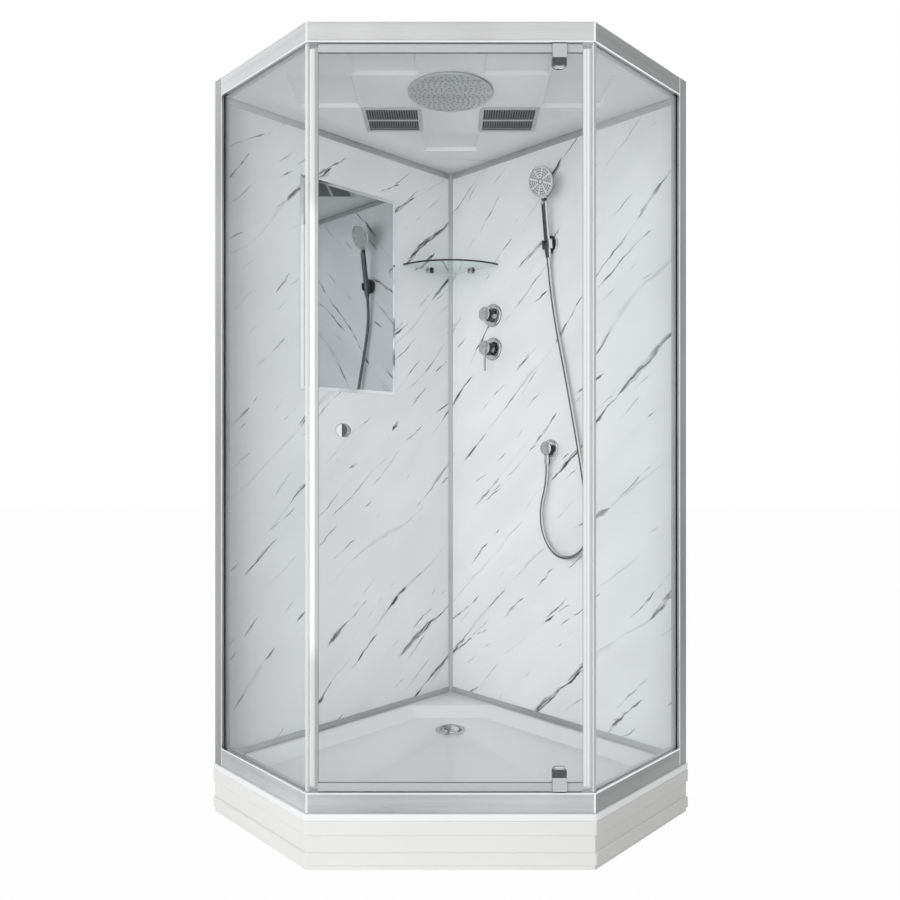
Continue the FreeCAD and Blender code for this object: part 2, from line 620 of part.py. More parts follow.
def makeDoor():
    """Pivoting door: pane, seals on four edges, hinge clamps, pins in the rails, knobs."""
    front, back = "door_front_y", "door_front_y + glass_thick"
    depth = (front, back)
    middle = "door_mid_y"
    pane = box(("-door_half", "door_half"), depth, ("door_low", "door_high"))
    half = "hinge_width / 2"
    notchHalf = "pin_radius + 2 * seal_gap"
    lowPlate = ("rail_base_top + seal_gap", "rail_base_top + seal_gap + hinge_height")
    highPlate = ("rail_head_z - seal_gap - hinge_height", "rail_head_z - seal_gap")
    notchTop = "rail_base_top + pin_reach + 2 * seal_gap"
    notches = [box((f"pivot_x - ({notchHalf})", f"pivot_x + {notchHalf}"),
                   (f"{front} - overrun", f"{back} + overrun"), span)
               for span in (("rail_base_top", notchTop), (f"rail_head_z + rail_base_top - ({notchTop})",
                                                          "rail_head_z"))]
    screwHole = rod("knob_screw_radius + fit_gap", "glass_thick + 2 * overrun", "-knob_x",
                    f"{front} - overrun", "knob_z", turn=alongY)
    keep(cut(pane, *notches, screwHole), "door_glass")
    bores = [rod("pin_radius + pin_play", "pin_reach + seal_gap", "pivot_x", middle, "rail_base_top"),
             rod("pin_radius + pin_play", "pin_reach + seal_gap", "pivot_x", middle,
                 "rail_head_z - pin_reach - seal_gap")]
    for label, low, high, lean in (("hinge_plates_outer", f"{front} - plate_thick", front, -1),
                                   ("hinge_plates_inner", back, f"{back} + plate_thick", 1)):
        clamps = []
        for number, span in enumerate((lowPlate, highPlate)):
            block = box((f"pivot_x - {half}", f"pivot_x + {half}"), (low, high), span)
            free = span[1] if number == 0 else span[0]
            block = soften(block, "hinge_width / 3", lambda edge, free=free: abs(
                edge.CenterOfMass.z - size(free)) < size("near")
                and edge.BoundBox.YLength > size("plate_thick / 2"))
            faceY = low if lean < 0 else high
            block = soften(block, "wedge / 2", lambda edge, faceY=faceY: abs(
                edge.CenterOfMass.y - size(faceY)) < size("fit_gap")
                and edge.BoundBox.YLength < size("near"))
            clamps.append(cut(block, bores[number]))
        keep(group(*clamps), label)
    pinLow = rod("pin_radius", "2 * pin_reach - fit_gap", "pivot_x", middle, "rail_base_top - pin_reach")
    pinHigh = rod("pin_radius", "2 * pin_reach - fit_gap", "pivot_x", middle,
                  "rail_head_z - pin_reach + fit_gap")
    keep(group(pinLow, pinHigh), "pivot_pins")
    sealOut = (f"{middle} - seal_thick / 2", f"{middle} + seal_thick / 2")
    lineX = frontLine("frame_inset + channel_offset")[1]
    edgeX = f"(({lineX[0]}) - ({lineX[1]})) / root2 - 2 * seal_gap"
    for label, side in (("door_seal_left", -1), ("door_seal_right", 1)):
        inner, outer = "door_half - seal_height", edgeX
        span = (f"-({outer})", f"-({inner})") if side < 0 else (inner, outer)
        lip = box(span, sealOut, ("door_low", "door_high"))
        slot = box(("-door_half", "door_half"), depth, ("door_low - overrun", "door_high + overrun"))
        keep(cut(lip, slot), label)
    inside = "door_half - seal_height - fit_gap"
    hingeSide = f"pivot_x - {half} - fit_gap"
    for label, low, high in (("door_seal_top", "door_high - seal_height", "rail_head_z - seal_gap"),
                             ("door_seal_bottom", "rail_base_top + seal_gap", "door_low + seal_height")):
        strips = []
        for start, stop in ((f"-({inside})", hingeSide), (f"pivot_x + {half} + fit_gap", inside)):
            strip = box((start, stop), sealOut, (low, high))
            slot = box(("-door_half", "door_half"), depth, ("door_low", "door_high"))
            strips.append(cut(strip, slot))
        keep(group(*strips), label)
    knob = [("0", "0"), ("knob_neck", "0"), ("knob_neck", "knob_neck_length"),
            ("knob_radius - wedge", "knob_flare"), ("knob_radius", "knob_length / 2"),
            ("knob_radius", "knob_length - wedge"), ("knob_radius - wedge", "knob_length"),
            ("0", "knob_length")]
    knobs = []
    for y, turn in ((front, alongY.inverted()), (back, alongY)):
        knobs.append(cut(turned(knob, "-knob_x", y, "knob_z", turn=turn),
                         rod("knob_screw_radius", "glass_thick + 2 * wedge", "-knob_x",
                             f"{front} - wedge", "knob_z", turn=alongY)))
    keep(group(*knobs), "door_knobs")
    screw = rod("knob_screw_radius", "glass_thick + 2 * wedge", "-knob_x", f"{front} - wedge", "knob_z",
                turn=alongY)
    keep(screw, "knob_screw")


def makeMirrorAndShelf():
    """Bevelled mirror on the left wall and quarter round glass shelf in the corner."""
    face = "panel_face"
    start = f"{face} + mirror_start"
    sheet = box((start, f"{start} + mirror_width"), (face, f"{face} + mirror_thick"),
                ("mirror_bottom", "mirror_bottom + mirror_height"), "corner")
    doc.recompute()
    bevel = doc.addObject("Part::Chamfer", "Bevel")
    bevel.Base = sheet
    reach = size("mirror_bevel")
    bevel.Edges = [(number, reach, reach) for number, edge in enumerate(sheet.Shape.Edges, 1)
                   if nearWall(edge.CenterOfMass) > size(f"{face} + mirror_thick - fit_gap")]
    keep(bevel, "mirror")
    corner = f"{face} + corner_width"
    disc = rod("shelf_radius", "shelf_thick", face, face, "shelf_z", "corner")
    quarter = box((f"{face} + fit_gap", f"{face} + shelf_radius + overrun"),
                  (f"{face} + fit_gap", f"{face} + shelf_radius + overrun"),
                  ("shelf_z - overrun", "shelf_z + shelf_thick + overrun"), "corner")
    snip = plate([(face, face), (corner, face), (face, corner)], "shelf_z - overrun",
                 "shelf_z + shelf_thick + overrun", "corner")
    keep(cut(common(disc, quarter), snip), "corner_shelf")
    along = (f"{face} + clamp_along - clamp_width / 2", f"{face} + clamp_along + clamp_width / 2")
    out = (face, f"{face} + clamp_reach")
    middle = "shelf_z + shelf_thick / 2"
    tall = (f"{middle} - clamp_height / 2", f"{middle} + clamp_height / 2")
    clamps = []
    for x, y in ((along, out), (out, along)):
        block = soften(box(x, y, tall, "corner"), "wedge", lambda edge: nearWall(edge.CenterOfMass)
                       > size(f"{face} + clamp_reach / 3"))
        slot = [(span[0] + " - overrun" if span is along else face + " + fit_gap", span[1] + " + overrun")
                for span in (x, y)]
        clamps.append(cut(block, box(*slot, ("shelf_z", "shelf_z + shelf_thick"), "corner")))
    keep(group(*clamps), "shelf_clamps")


def onWall(out, along):
    """Corner frame place of a point on the right wall, from its distances out and along."""
    return f"panel_face + {out}", f"panel_face + {along}"


def makeValves():
    """Diverter and mixer on the right wall, with their bodies and pipes behind the panel."""
    bore = "collar_radius - wedge"
    rose = [(bore, "0"), ("rosette_radius", "0"), ("rosette_radius", "rosette_thick - wedge"),
            ("rosette_radius - wedge", "rosette_thick"), (bore, "rosette_thick")]
    x, y = onWall("0", "valve_along")
    roses = [turned(rose, x, y, z, "corner", alongX) for z in ("diverter_z", "mixer_z")]
    keep(group(*roses), "valve_rosettes")
    clear = "rosette_thick + fit_gap"
    neckEnd = "rosette_thick + collar_length"
    crown = [("collar_radius", clear), ("collar_radius", neckEnd), ("valve_knob_radius - wedge", neckEnd),
             ("valve_knob_radius", f"{neckEnd} + wedge"), ("valve_knob_radius", "knob_out - wedge / 2"),
             ("valve_knob_radius - wedge / 2", "knob_out"), ("0", "knob_out"), ("0", "spindle_length"),
             ("spindle_radius + pin_play", "spindle_length"), ("spindle_radius + pin_play", clear)]
    knob = turned(crown, x, y, "diverter_z", "corner", alongX)
    keep(knob, "diverter_knob")
    rear = "panel_thick + valve_body_length"
    bodies = []
    for z, tip in (("diverter_z", "spindle_length - fit_gap"), ("mixer_z", "fit_gap")):
        base = rod("valve_body_radius", rear, f"{x} - ({rear})", y, z, "corner", alongX)
        if z == "diverter_z":
            base = join(base, rod("spindle_radius", tip, x, y, z, "corner", alongX))
        bodies.append(base)
    foot = "mixer_z - valve_body_radius"
    manifold = box(("supply_out - manifold_thick / 2", "supply_out + manifold_thick / 2"),
                   (f"{y} - manifold_half", f"{y} + manifold_half"),
                   (foot, f"{foot} + manifold_height"), "corner")
    inlets = [rod("inlet_radius", "inlet_length + overrun", "supply_out", f"{y} + ({shift}) * inlet_spread",
                  f"{foot} - inlet_length", "corner") for shift in ("-1", "1")]
    bodies[1] = join(bodies[1], manifold, *inlets)
    keep(group(*bodies), "valve_bodies")
    hub = [("0", "2 * fit_gap"), ("collar_radius - wedge - fit_gap", "2 * fit_gap"),
           ("collar_radius - wedge - fit_gap", "rosette_thick + 2 * wedge"),
           ("spindle_radius", "rosette_thick + 2 * wedge"),
           ("spindle_radius", "spindle_length"), ("0", "spindle_length")]
    pinReach = "2 * (valve_knob_radius - wedge)"
    pivot = "panel_face + spindle_length - 2 * wedge"
    hubShape = turned(hub, x, y, "mixer_z", "corner", alongX)
    pinY = f"{y} - (valve_knob_radius - wedge)"
    hole = rod("wedge / 2 + pin_play", pinReach, pivot, pinY, "mixer_z", "corner", alongY)
    keep(cut(hubShape, hole), "mixer_spindle")
    rim = "valve_knob_radius - wedge - fit_gap"
    cup = [("collar_radius + fit_gap", neckEnd), (rim, neckEnd), ("valve_knob_radius", f"{neckEnd} + wedge"),
           ("valve_knob_radius", "knob_out - wedge / 2"), ("valve_knob_radius - wedge / 2", "knob_out"),
           ("0", "knob_out"), ("0", "knob_out - 3 * wedge"),
           ("collar_radius + fit_gap", "knob_out - 3 * wedge")]
    shell = turned(cup, x, y, "mixer_z", "corner", alongX)
    pin = rod("wedge / 2", pinReach, pivot, pinY, "mixer_z", "corner", alongY)
    leverX = "panel_face + knob_out - wedge"
    leverTip = "mixer_z - valve_knob_radius - lever_length"
    lever = box((f"{leverX} - 1.5 * wedge", leverX), (f"{y} - lever_width / 2", f"{y} + lever_width / 2"),
                (leverTip, "mixer_z - valve_knob_radius + wedge"), "corner")
    lever = soften(lever, "wedge / 2", lambda edge: edge.BoundBox.ZLength > size("lever_length / 2")
                   or abs(edge.CenterOfMass.z - size(leverTip)) < size("fit_gap"))
    keep(join(shell, pin, lever), "mixer_handle")


def makePipes():
    """Riser from the diverter to the rain head over the ceiling, and feed to the hose outlet."""
    x, y = onWall("0", "valve_along")
    over = "(roof_top + pocket_rise + 2 * supply_radius)"
    start = "diverter_z + valve_body_radius + fit_gap"
    riser = rod("supply_radius", f"{over} - ({start})", "supply_out", y, start, "corner")
    frontX, frontY = f"(({y}) - supply_out) / root2", f"back_y - (({y}) + supply_out) / root2"
    ball = place(sphere("supply_bend"), "supply_out", y, over, "corner")
    headBall = place(sphere("supply_bend"), "0", "head_y", over)
    deltaX, deltaY = size(f"-({frontX})"), size(f"head_y - ({frontY})")
    run = f"sqrt(({frontX}) ^ 2 + (head_y - ({frontY})) ^ 2)"
    turn = FreeCAD.Rotation(degrees(atan2(deltaY, deltaX)), 0, 0).multiply(alongX)
    level = rod("supply_radius", run, frontX, frontY, over, turn=turn)
    drop = rod("supply_radius", f"{over} - (roof_top + 4 * fit_gap)", "0", "head_y", "roof_top + 4 * fit_gap")
    feedStart = f"{y} + manifold_half + 2 * supply_radius"
    feedEnd = "panel_face + outlet_along + supply_radius"
    feed = rod("supply_radius", f"{feedEnd} - ({feedStart})", "supply_out", feedStart, "outlet_z",
               "corner", alongY)
    feedDrop = rod("supply_radius", "diverter_z - outlet_z", "supply_out", feedStart, "outlet_z", "corner")
    branchStart = f"{y} + valve_body_radius + fit_gap"
    branch = rod("supply_radius", f"{feedStart} - ({branchStart})", "supply_out", branchStart, "diverter_z",
                 "corner", alongY)
    link = rod("supply_radius", "diverter_z - mixer_z - 2 * valve_body_radius - 2 * fit_gap", "supply_out", y,
               "mixer_z + valve_body_radius + fit_gap", "corner")
    keep(group(join(riser, ball, level, headBall, drop), join(feed, feedDrop, branch), link), "supply_pipes")


def makeOutlet():
    """Wall elbow for the hose, with a neck that points down and the hose nut under it."""
    x, y = onWall("0", "outlet_along")
    cap = [("0", "0"), ("outlet_radius", "0"), ("outlet_radius", "wedge"),
           ("outlet_radius - wedge", "2 * wedge"), ("outlet_cap", "2 * wedge"),
           ("outlet_cap", "outlet_out - wedge"),
           ("outlet_cap - wedge", "outlet_out"), ("0", "outlet_out")]
    neckEnd = "outlet_z - outlet_radius - 2 * wedge"
    behind = "supply_out + supply_radius + fit_gap"
    neck = rod("hose_nut_radius - fit_gap", f"outlet_z - ({neckEnd})", "panel_face + hose_out", y,
               neckEnd, "corner")
    inlet = rod("hose_nut_radius", f"{x} - ({behind})", behind, y, "outlet_z", "corner", alongX)
    keep(join(turned(cap, x, y, "outlet_z", "corner", alongX), neck, inlet), "wall_outlet")
    nut = [("hose_bore", "-hose_nut_length"), ("hose_radius + fit_gap", "-hose_nut_length"),
           ("hose_nut_radius", "wedge - hose_nut_length"), ("hose_nut_radius", "-fit_gap"),
           ("hose_bore", "-fit_gap")]
    keep(turned(nut, "panel_face + hose_out", y, neckEnd, "corner"), "hose_nut")


# Route of the hose: distance out from the right wall, distance along it, and height over the
# wall outlet. The hand shower and the wall outlet set its two ends.
HOSE_ROUTE = [
    (20.7, 485, 632), (10.8, 485, 555), (13, 511, 415), (16, 548, 267), (19, 587, 97),
    (20, 619, -55), (20, 642, -190), (20, 650, -295), (20, 598, -358), (20, 517, -362),
    (20, 462, -295), (20, 451, -205), (20, 480, -115), (20, 480, -54),
]
RIB_COUNT = 200
RIB_SHARES = (0, 0.2, 0.45, 0.65)


def hosePath():
    """Straight runs joined by tangent arcs along the route, in the frame of the right wall."""
    points = [FreeCAD.Vector(size("panel_face") + out, size("panel_face") + along, size("outlet_z") + rise)
              for out, along, rise in HOSE_ROUTE]
    points[0] = conePoint()
    points[1] = points[0] - handleAxis() * (points[0] - points[1]).Length
    points[-1].z = size("outlet_z - outlet_radius - 2 * wedge - hose_nut_length - fit_gap")
    edges, here, radii = [], points[0], []
    for before, corner, after in zip(points, points[1:], points[2:]):
        incoming, outgoing = corner - before, after - corner
        half = incoming.getAngle(outgoing) / 2
        reach = 0.45 * min(incoming.Length, outgoing.Length)
        radii.append(reach / tan(half))
        incoming.normalize()
        outgoing.normalize()
        start, stop = corner - incoming * reach, corner + outgoing * reach
        bisector = outgoing - incoming
        bisector.normalize()
        centre = corner + bisector * (reach / sin(half))
        middle = centre - bisector * radii[-1]
        edges.append(Part.LineSegment(here, start).toShape())
        edges.append(Part.Arc(start, middle, stop).toShape())
        here = stop
    edges.append(Part.LineSegment(here, points[-1]).toShape())
    print("hose radii", [round(radius) for radius in radii])
    return Part.Wire(edges)


def handleAxis():
    """Upward direction of the hand shower's handle, in the frame of the right wall."""
    lean = radians(size("handle_lean"))
    return FreeCAD.Vector(sin(lean), 0, (1 - sin(lean) ** 2) ** 0.5)


def conePoint():
    """Lower end of the hand shower's cone."""
    start = FreeCAD.Vector(size("panel_face + handle_out"), size("panel_face + holder_along"),
                           size("holder_z"))
    return start - handleAxis() * (size("cone_length") + size("fit_gap"))


def makeHose():
    """Ribbed metal hose from the hand shower's cone down in a loop and up to the wall outlet."""
    path = hosePath()
    first = path.Edges[0]
    section = Part.Circle(first.firstVertex().Point, first.tangentAt(first.FirstParameter), size("hose_bore"))
    bore = path.makePipeShell([Part.Wire([section.toShape()])], True, False)
    plain = size("2 * hose_radius")
    pitch = (path.Length - 2 * plain) / RIB_COUNT
    stations = [(0, "hose_radius")]
    for number in range(RIB_COUNT):
        for share, radius in zip(RIB_SHARES, ("hose_radius", "rib_root", "rib_root", "hose_radius")):
            stations.append((plain + (number + share) * pitch, radius))
    stations.append((path.Length, "hose_radius"))
    circles, start, edges = [], 0, list(path.Edges)
    for distance, radius in stations:
        while distance > start + edges[0].Length and len(edges) > 1:
            start += edges.pop(0).Length
        here = edges[0].getParameterByLength(distance - start)
        ring = Part.Circle(edges[0].valueAt(here), edges[0].tangentAt(here), size(radius))
        ring.XAxis = FreeCAD.Vector(1, 0, 0)
        circles.append(Part.Wire([ring.toShape()]))
    shape = Part.makeLoft(circles, True, True).cut(bore)
    expected = pi * (size("hose_radius") ** 2 - size("hose_bore") ** 2) * path.Length
    print("hose length", round(path.Length), "rib pitch", round(pitch, 2))
    print("volume over that of a plain tube", round(shape.Volume / expected, 3))
    item = doc.addObject("Part::Feature", "Hose")
    item.Shape = shape
    place(item, "0", "0", "0", "corner")
    keep(item, "shower_hose")


def tilted(angle):
    """A turn in the wall's frame that leans the z axis out from the right wall."""
    return FreeCAD.Rotation(FreeCAD.Vector(0, 1, 0), angle)


def makeHandShower():
    """Holder with a forked ring, and the hand shower with its cone, handle, head and button."""
    y = "panel_face + holder_along"
    lean = tilted(size("handle_lean"))
    centreX = "panel_face + handle_out"
    half = "(holder_height / 2 - holder_radius)"
    shell = [rod("holder_radius", "supply_out - wedge", "panel_face", y, f"holder_z + ({shift}) * {half}",
                 "corner", alongX) for shift in ("1", "-1")]
    shell.append(box(("panel_face", "panel_face + supply_out - wedge"),
                     (f"{y} - holder_radius", f"{y} + holder_radius"),
                     (f"holder_z - {half}", f"holder_z + {half}"), "corner"))
    ring = "cone_radius + 2 * wedge"
    arm = box(("panel_face + supply_out / 2", f"{centreX} - cone_radius"),
              (f"{y} - cone_radius", f"{y} + cone_radius"),
              ("holder_z - arm_below", "holder_z + arm_above"), "corner")
    length = "ring_length"
    drop = "ring_length / 2 + wedge"
    sinLean, cosLean = "sin(handle_lean)", "cos(handle_lean)"

    def onHandle(distance):
        return f"{centreX} + ({distance}) * {sinLean}", y, f"holder_z + ({distance}) * {cosLean}"

    collar = rod(ring, length, *onHandle(f"-({drop})"), "corner", lean)
    coneLow = "hose_radius + 2 * wedge / 3"
    wide, slim = "cone_radius + fit_gap", f"({coneLow}) + fit_gap"
    socket = cone(slim, wide, "cone_length", *onHandle("-cone_length"), "corner", lean)
    above = rod(wide, length, *onHandle("0"), "corner", lean)
    mouth = box((centreX, f"{centreX} + {ring} + 2 * overrun"),
                (f"{y} - handle_radius + wedge / 2", f"{y} + handle_radius - wedge / 2"),
                ("holder_z - ring_length", "holder_z + ring_length"), "corner")
    keep(cut(join(*shell, arm, collar), socket, above, mouth), "handset_holder")
    taper = cone(coneLow, "cone_radius", "cone_length", *onHandle("-cone_length"), "corner", lean)
    flare = cone("cone_radius", "handle_radius", "flare_length", *onHandle("0"), "corner", lean)
    grip = rod("handle_radius", "handle_length", *onHandle("0"), "corner", lean)
    neck = cone("handle_radius", "neck_radius", "neck_length",
                *onHandle("handle_length - 2 * handle_radius"), "corner", lean)
    facing = tilted(90 + size("head_tilt"))
    headX, headZ = "panel_face + head_out", "head_z"
    dome = [("0", "-head_thick"), ("head_radius / 2", "-head_thick + wedge / 2"),
            ("dome_radius", "-dome_depth"), ("head_radius", "-wedge"), ("head_radius", "0"),
            ("0", "0")]
    head = turned(dome, headX, y, headZ, "corner", facing)
    ahead = rod("face_clearing", "head_radius", headX, y, headZ, "corner", facing)
    outward = tilted(90 + size("handle_lean"))
    buttonAt = onHandle("handle_length - button_below")
    button = rod("button_radius", "handle_radius + wedge / 2", *buttonAt, "corner", outward)
    buttonHole = rod("button_radius + fit_gap", "2 * handle_radius", *buttonAt, "corner", outward)
    body = cut(join(taper, flare, grip, neck, head), ahead)
    keep(cut(body, buttonHole), "handset_body")
    inner = rod("handle_radius", "wedge", *buttonAt, "corner", outward)
    keep(cut(button, inner), "spray_button")
    plateRadius = "head_radius - 2 * wedge"
    face = [("0", "0"), (plateRadius, "0"), (plateRadius, "face_thick / 2"),
            (f"{plateRadius} - face_thick", "face_thick"), ("0", "face_thick")]
    keep(turned(face, headX, y, headZ, "corner", facing), "handset_face")


def makeCeiling():
    """Moulded ceiling: rim, raised middle, pockets that rise from it, holes for air and water."""
    edge = "frame_inset + rail_depth + fit_gap"
    slab = plate(pentagon(edge, "fit_gap"), "ceiling_z", "roof_top", "corner")
    wall = "panel_face + rim_width"
    middle = loft(basin("(panel_face + trim_thick)", f"({edge} + plateau_rise)", "basin_chamfer"),
                  basin(f"({wall})", f"({edge} + 2 * plateau_rise)", "(basin_chamfer + rim_width)"),
                  "ceiling_z", "plateau_z", "corner")
    pockets = []
    for side in (1, -1):
        near, far = "pocket_inner_x", "pocket_front_x"
        frontInner = f"front_y + {edge} + pocket_edge"
        spans = [((near, far), (frontInner, "pocket_front_y")),
                 (("pocket_front_x + plateau_rise", "pocket_side_x"), ("pocket_front_y", "pocket_side_y"))]
        for x, y in spans:
            if side < 0:
                x = (f"-({x[1]})", f"-({x[0]})")
            pockets.append((x, y))
    pockets.append((("-pocket_inner_x", "pocket_inner_x"), ("pocket_back_y", "pocket_back_end_y")))
    shells, hollows = [], []
    for x, y in pockets:
        def ring(grow, x=x, y=y):
            return [(f"{x[0]} - ({grow})", f"{y[0]} - ({grow})"), (f"{x[1]} + {grow}", f"{y[0]} - ({grow})"),
                    (f"{x[1]} + {grow}", f"{y[1]} + {grow}"), (f"{x[0]} - ({grow})", f"{y[1]} + {grow}")]
        hollows.append(loft(ring("0"), ring("-plateau_rise"), "plateau_z",
                            "plateau_z + pocket_rise"))
        shells.append(loft(ring("ceiling_thick"), ring("0"), "plateau_z",
                           "plateau_z + pocket_rise + ceiling_thick"))
    openings = [rod("rain_neck + fit_gap", "3 * ceiling_thick", "0", "head_y", "ceiling_z"),
                rod("supply_radius + fit_gap", "3 * ceiling_thick", "supply_out",
                    "panel_face + valve_along", "ceiling_z - fit_gap", "corner")]
    for low, high in (("grille_inner_x + slot_edge", "grille_inner_x + grille_width - slot_edge"),
                      ("-(grille_inner_x + grille_width - slot_edge)", "-(grille_inner_x + slot_edge)")):
        openings.append(box((low, high), ("grille_front_y + slot_edge",
                                          "grille_front_y + grille_length - slot_edge"),
                            ("ceiling_z", "roof_top + overrun")))
    body = join(slab, *shells)
    keep(cut(body, middle, *hollows, *openings), "ceiling_panel")
    disc = [("0", "-rain_thick"), ("rain_radius - wedge / 2", "-rain_thick"),
            ("rain_radius", "wedge / 2 - rain_thick"),
            ("rain_radius", "-wedge / 2"), ("rain_radius - wedge / 2", "-fit_gap"), ("rain_neck", "-fit_gap"),
            ("rain_neck", "ceiling_thick + 3 * fit_gap"), ("0", "ceiling_thick + 3 * fit_gap")]
    keep(turned(disc, "0", "head_y", "plateau_z"), "rain_head")
    grilles = []
    for side in (1, -1):
        x = ("grille_inner_x", "grille_inner_x + grille_width")
        if side < 0:
            x = (f"-({x[1]})", f"-({x[0]})")
        y = ("grille_front_y", "grille_front_y + grille_length")
        cover = box(x, y, ("plateau_z - grille_thick", "plateau_z"))
        cornerX = x[0] if side > 0 else x[1]
        cover = soften(cover, "grille_round", lambda edge, cornerX=cornerX: abs(
                       edge.CenterOfMass.x - size(cornerX)) < size("near")
                       and edge.BoundBox.ZLength > size("near")
                       and abs(edge.CenterOfMass.y - size("grille_front_y")) < size("near"))
        cover = soften(cover, "wedge / 2", lambda edge: edge.BoundBox.ZLength < size("near")
                       and edge.CenterOfMass.z < size("plateau_z - grille_thick / 2"))
        pitch = "(grille_width - 2 * slot_edge - slot_width) / (slot_count - 1)"
        slots = []
        for number in range(int(size("slot_count"))):
            low = f"{x[0]} + slot_edge + {number} * {pitch}"
            for rowStart in ("grille_front_y + slot_edge",
                             "grille_front_y + slot_edge + slot_length + slot_mid"):
                slots.append(box((low, f"{low} + slot_width"), (rowStart, f"{rowStart} + slot_length"),
                                 ("plateau_z - grille_thick - overrun", "plateau_z + overrun")))
        grilles.append(cut(cover, *slots))
    keep(group(*grilles), "ceiling_grilles")


def writeParts():
    """Check every object, then write each finished piece to its file."""
    doc.recompute()
    for item in doc.Objects:
        if "Invalid" in item.State or "Error" in item.State:
            raise RuntimeError(f"{item.Name} ({item.Label}) did not recompute: {item.State}")
    os.makedirs("parts", exist_ok=True)
    for item in finished:
        if item.Shape.isNull() or not item.Shape.isValid():
            raise RuntimeError(f"{item.Label} has no valid shape")
        item.Shape.exportStep(f"parts/{item.Label}.step")
        print(item.Label, len(item.Shape.Solids), round(item.Shape.Volume))


for make in (makeTray, makeApron, makeSubframe, makeDrain, makeFrame, makeWalls, makeSideGlass, makeDoor,
             makeMirrorAndShelf, makeValves, makePipes, makeOutlet, makeHose, makeHandShower, makeCeiling):
    make()
writeParts()
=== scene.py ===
from math import cos, pi, radians, sin, sqrt

import bmesh
import bpy
from mathutils import Matrix, Vector
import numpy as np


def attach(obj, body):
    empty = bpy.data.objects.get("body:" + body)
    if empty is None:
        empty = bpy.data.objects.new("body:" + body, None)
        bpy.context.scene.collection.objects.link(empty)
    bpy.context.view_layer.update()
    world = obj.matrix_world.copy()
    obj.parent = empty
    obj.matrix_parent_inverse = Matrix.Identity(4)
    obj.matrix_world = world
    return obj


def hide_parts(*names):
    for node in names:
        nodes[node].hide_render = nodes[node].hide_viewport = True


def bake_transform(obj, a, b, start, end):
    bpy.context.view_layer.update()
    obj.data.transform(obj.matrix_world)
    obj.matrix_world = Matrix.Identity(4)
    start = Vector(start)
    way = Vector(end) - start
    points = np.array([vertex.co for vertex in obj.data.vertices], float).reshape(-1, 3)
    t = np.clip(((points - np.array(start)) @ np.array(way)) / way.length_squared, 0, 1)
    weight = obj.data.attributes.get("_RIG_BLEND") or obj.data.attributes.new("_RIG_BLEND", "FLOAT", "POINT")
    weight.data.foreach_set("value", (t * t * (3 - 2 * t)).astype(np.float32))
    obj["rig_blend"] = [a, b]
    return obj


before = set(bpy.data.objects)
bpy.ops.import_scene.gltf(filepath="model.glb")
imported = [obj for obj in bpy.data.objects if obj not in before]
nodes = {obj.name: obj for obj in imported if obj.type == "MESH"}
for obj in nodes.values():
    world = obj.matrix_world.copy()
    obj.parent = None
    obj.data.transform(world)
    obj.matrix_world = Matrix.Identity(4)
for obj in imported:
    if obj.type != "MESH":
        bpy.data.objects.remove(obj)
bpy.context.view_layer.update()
print("frame loaded:", len(nodes), "CAD nodes")


# Material tools

def newMaterial(name):
    material = bpy.data.materials.new(name)
    material.use_nodes = True
    tree = material.node_tree
    tree.nodes.clear()
    tree.nodes.new("ShaderNodeOutputMaterial").name = "Output"
    return material, tree


def addNode(tree, kind, inputs=None, **settings):
    node = tree.nodes.new("ShaderNode" + kind)
    for key, value in settings.items():
        setattr(node, key, value)
    for key, value in (inputs or {}).items():
        if isinstance(value, bpy.types.NodeSocket):
            tree.links.new(value, node.inputs[key])
        else:
            node.inputs[key].default_value = value
    return node


def mathNode(tree, operation, first, second=0.5, third=None):
    inputs = {0: first, 1: second}
    if third is not None:
        inputs[2] = third
    return addNode(tree, "Math", inputs, operation=operation).outputs[0]


def times(tree, first, second):
    return mathNode(tree, "MULTIPLY", first, second)


def absolute(tree, value):
    return mathNode(tree, "ABSOLUTE", value)


# Share from 0 to 1 of a value from -1 to 1
def shareOf(tree, value):
    return mathNode(tree, "MULTIPLY_ADD", value, 0.5, 0.5)


def ranged(tree, value, low, high, start=0.0, end=1.0):
    inputs = {"Value": value, "From Min": low, "From Max": high, "To Min": start, "To Max": end}
    return addNode(tree, "MapRange", inputs).outputs[0]


def dimmed(colour, level):
    return tuple(part * level for part in colour)


def rampNode(tree, factor, stops):
    node = addNode(tree, "ValToRGB", {"Fac": factor})
    ramp = node.color_ramp
    while len(ramp.elements) < len(stops):
        ramp.elements.new(0.5)
    for element, (position, colour) in zip(ramp.elements, stops):
        element.position = position
        element.color = (*colour, 1)
    return node.outputs["Color"]


def greyRamp(tree, factor, stops):
    return rampNode(tree, factor, [(place, (level,) * 3) for place, level in stops])


# Two tones by the middle part of a noise
def clouded(tree, factor, low, high):
    return rampNode(tree, factor, [(0.3, low), (0.7, high)])


def mixed(tree, factor, first, second, how="MIX"):
    node = addNode(tree, "Mix", {"Factor": factor, "A": first, "B": second}, data_type="RGBA", blend_type=how)
    return [socket for socket in node.outputs if socket.type == "RGBA"][0]


# Axes of the place on the object, or of the way a face is turned
def axes(tree, kind="Object"):
    return addNode(tree, "SeparateXYZ", {0: addNode(tree, "TexCoord").outputs[kind]}).outputs


def mapped(tree, point, scale=(1, 1, 1), turn=(0, 0, 0), shift=(0, 0, 0)):
    inputs = {"Vector": point, "Scale": scale, "Rotation": turn, "Location": shift}
    return addNode(tree, "Mapping", inputs).outputs["Vector"]


def objectPoint(tree, scale=(1, 1, 1)):
    return mapped(tree, addNode(tree, "TexCoord").outputs["Object"], scale)


def noise(tree, scale, detail=2.0, roughness=0.5, point=None):
    inputs = {"Vector": point or objectPoint(tree), "Scale": scale, "Detail": detail, "Roughness": roughness}
    return addNode(tree, "TexNoise", inputs).outputs["Fac"]


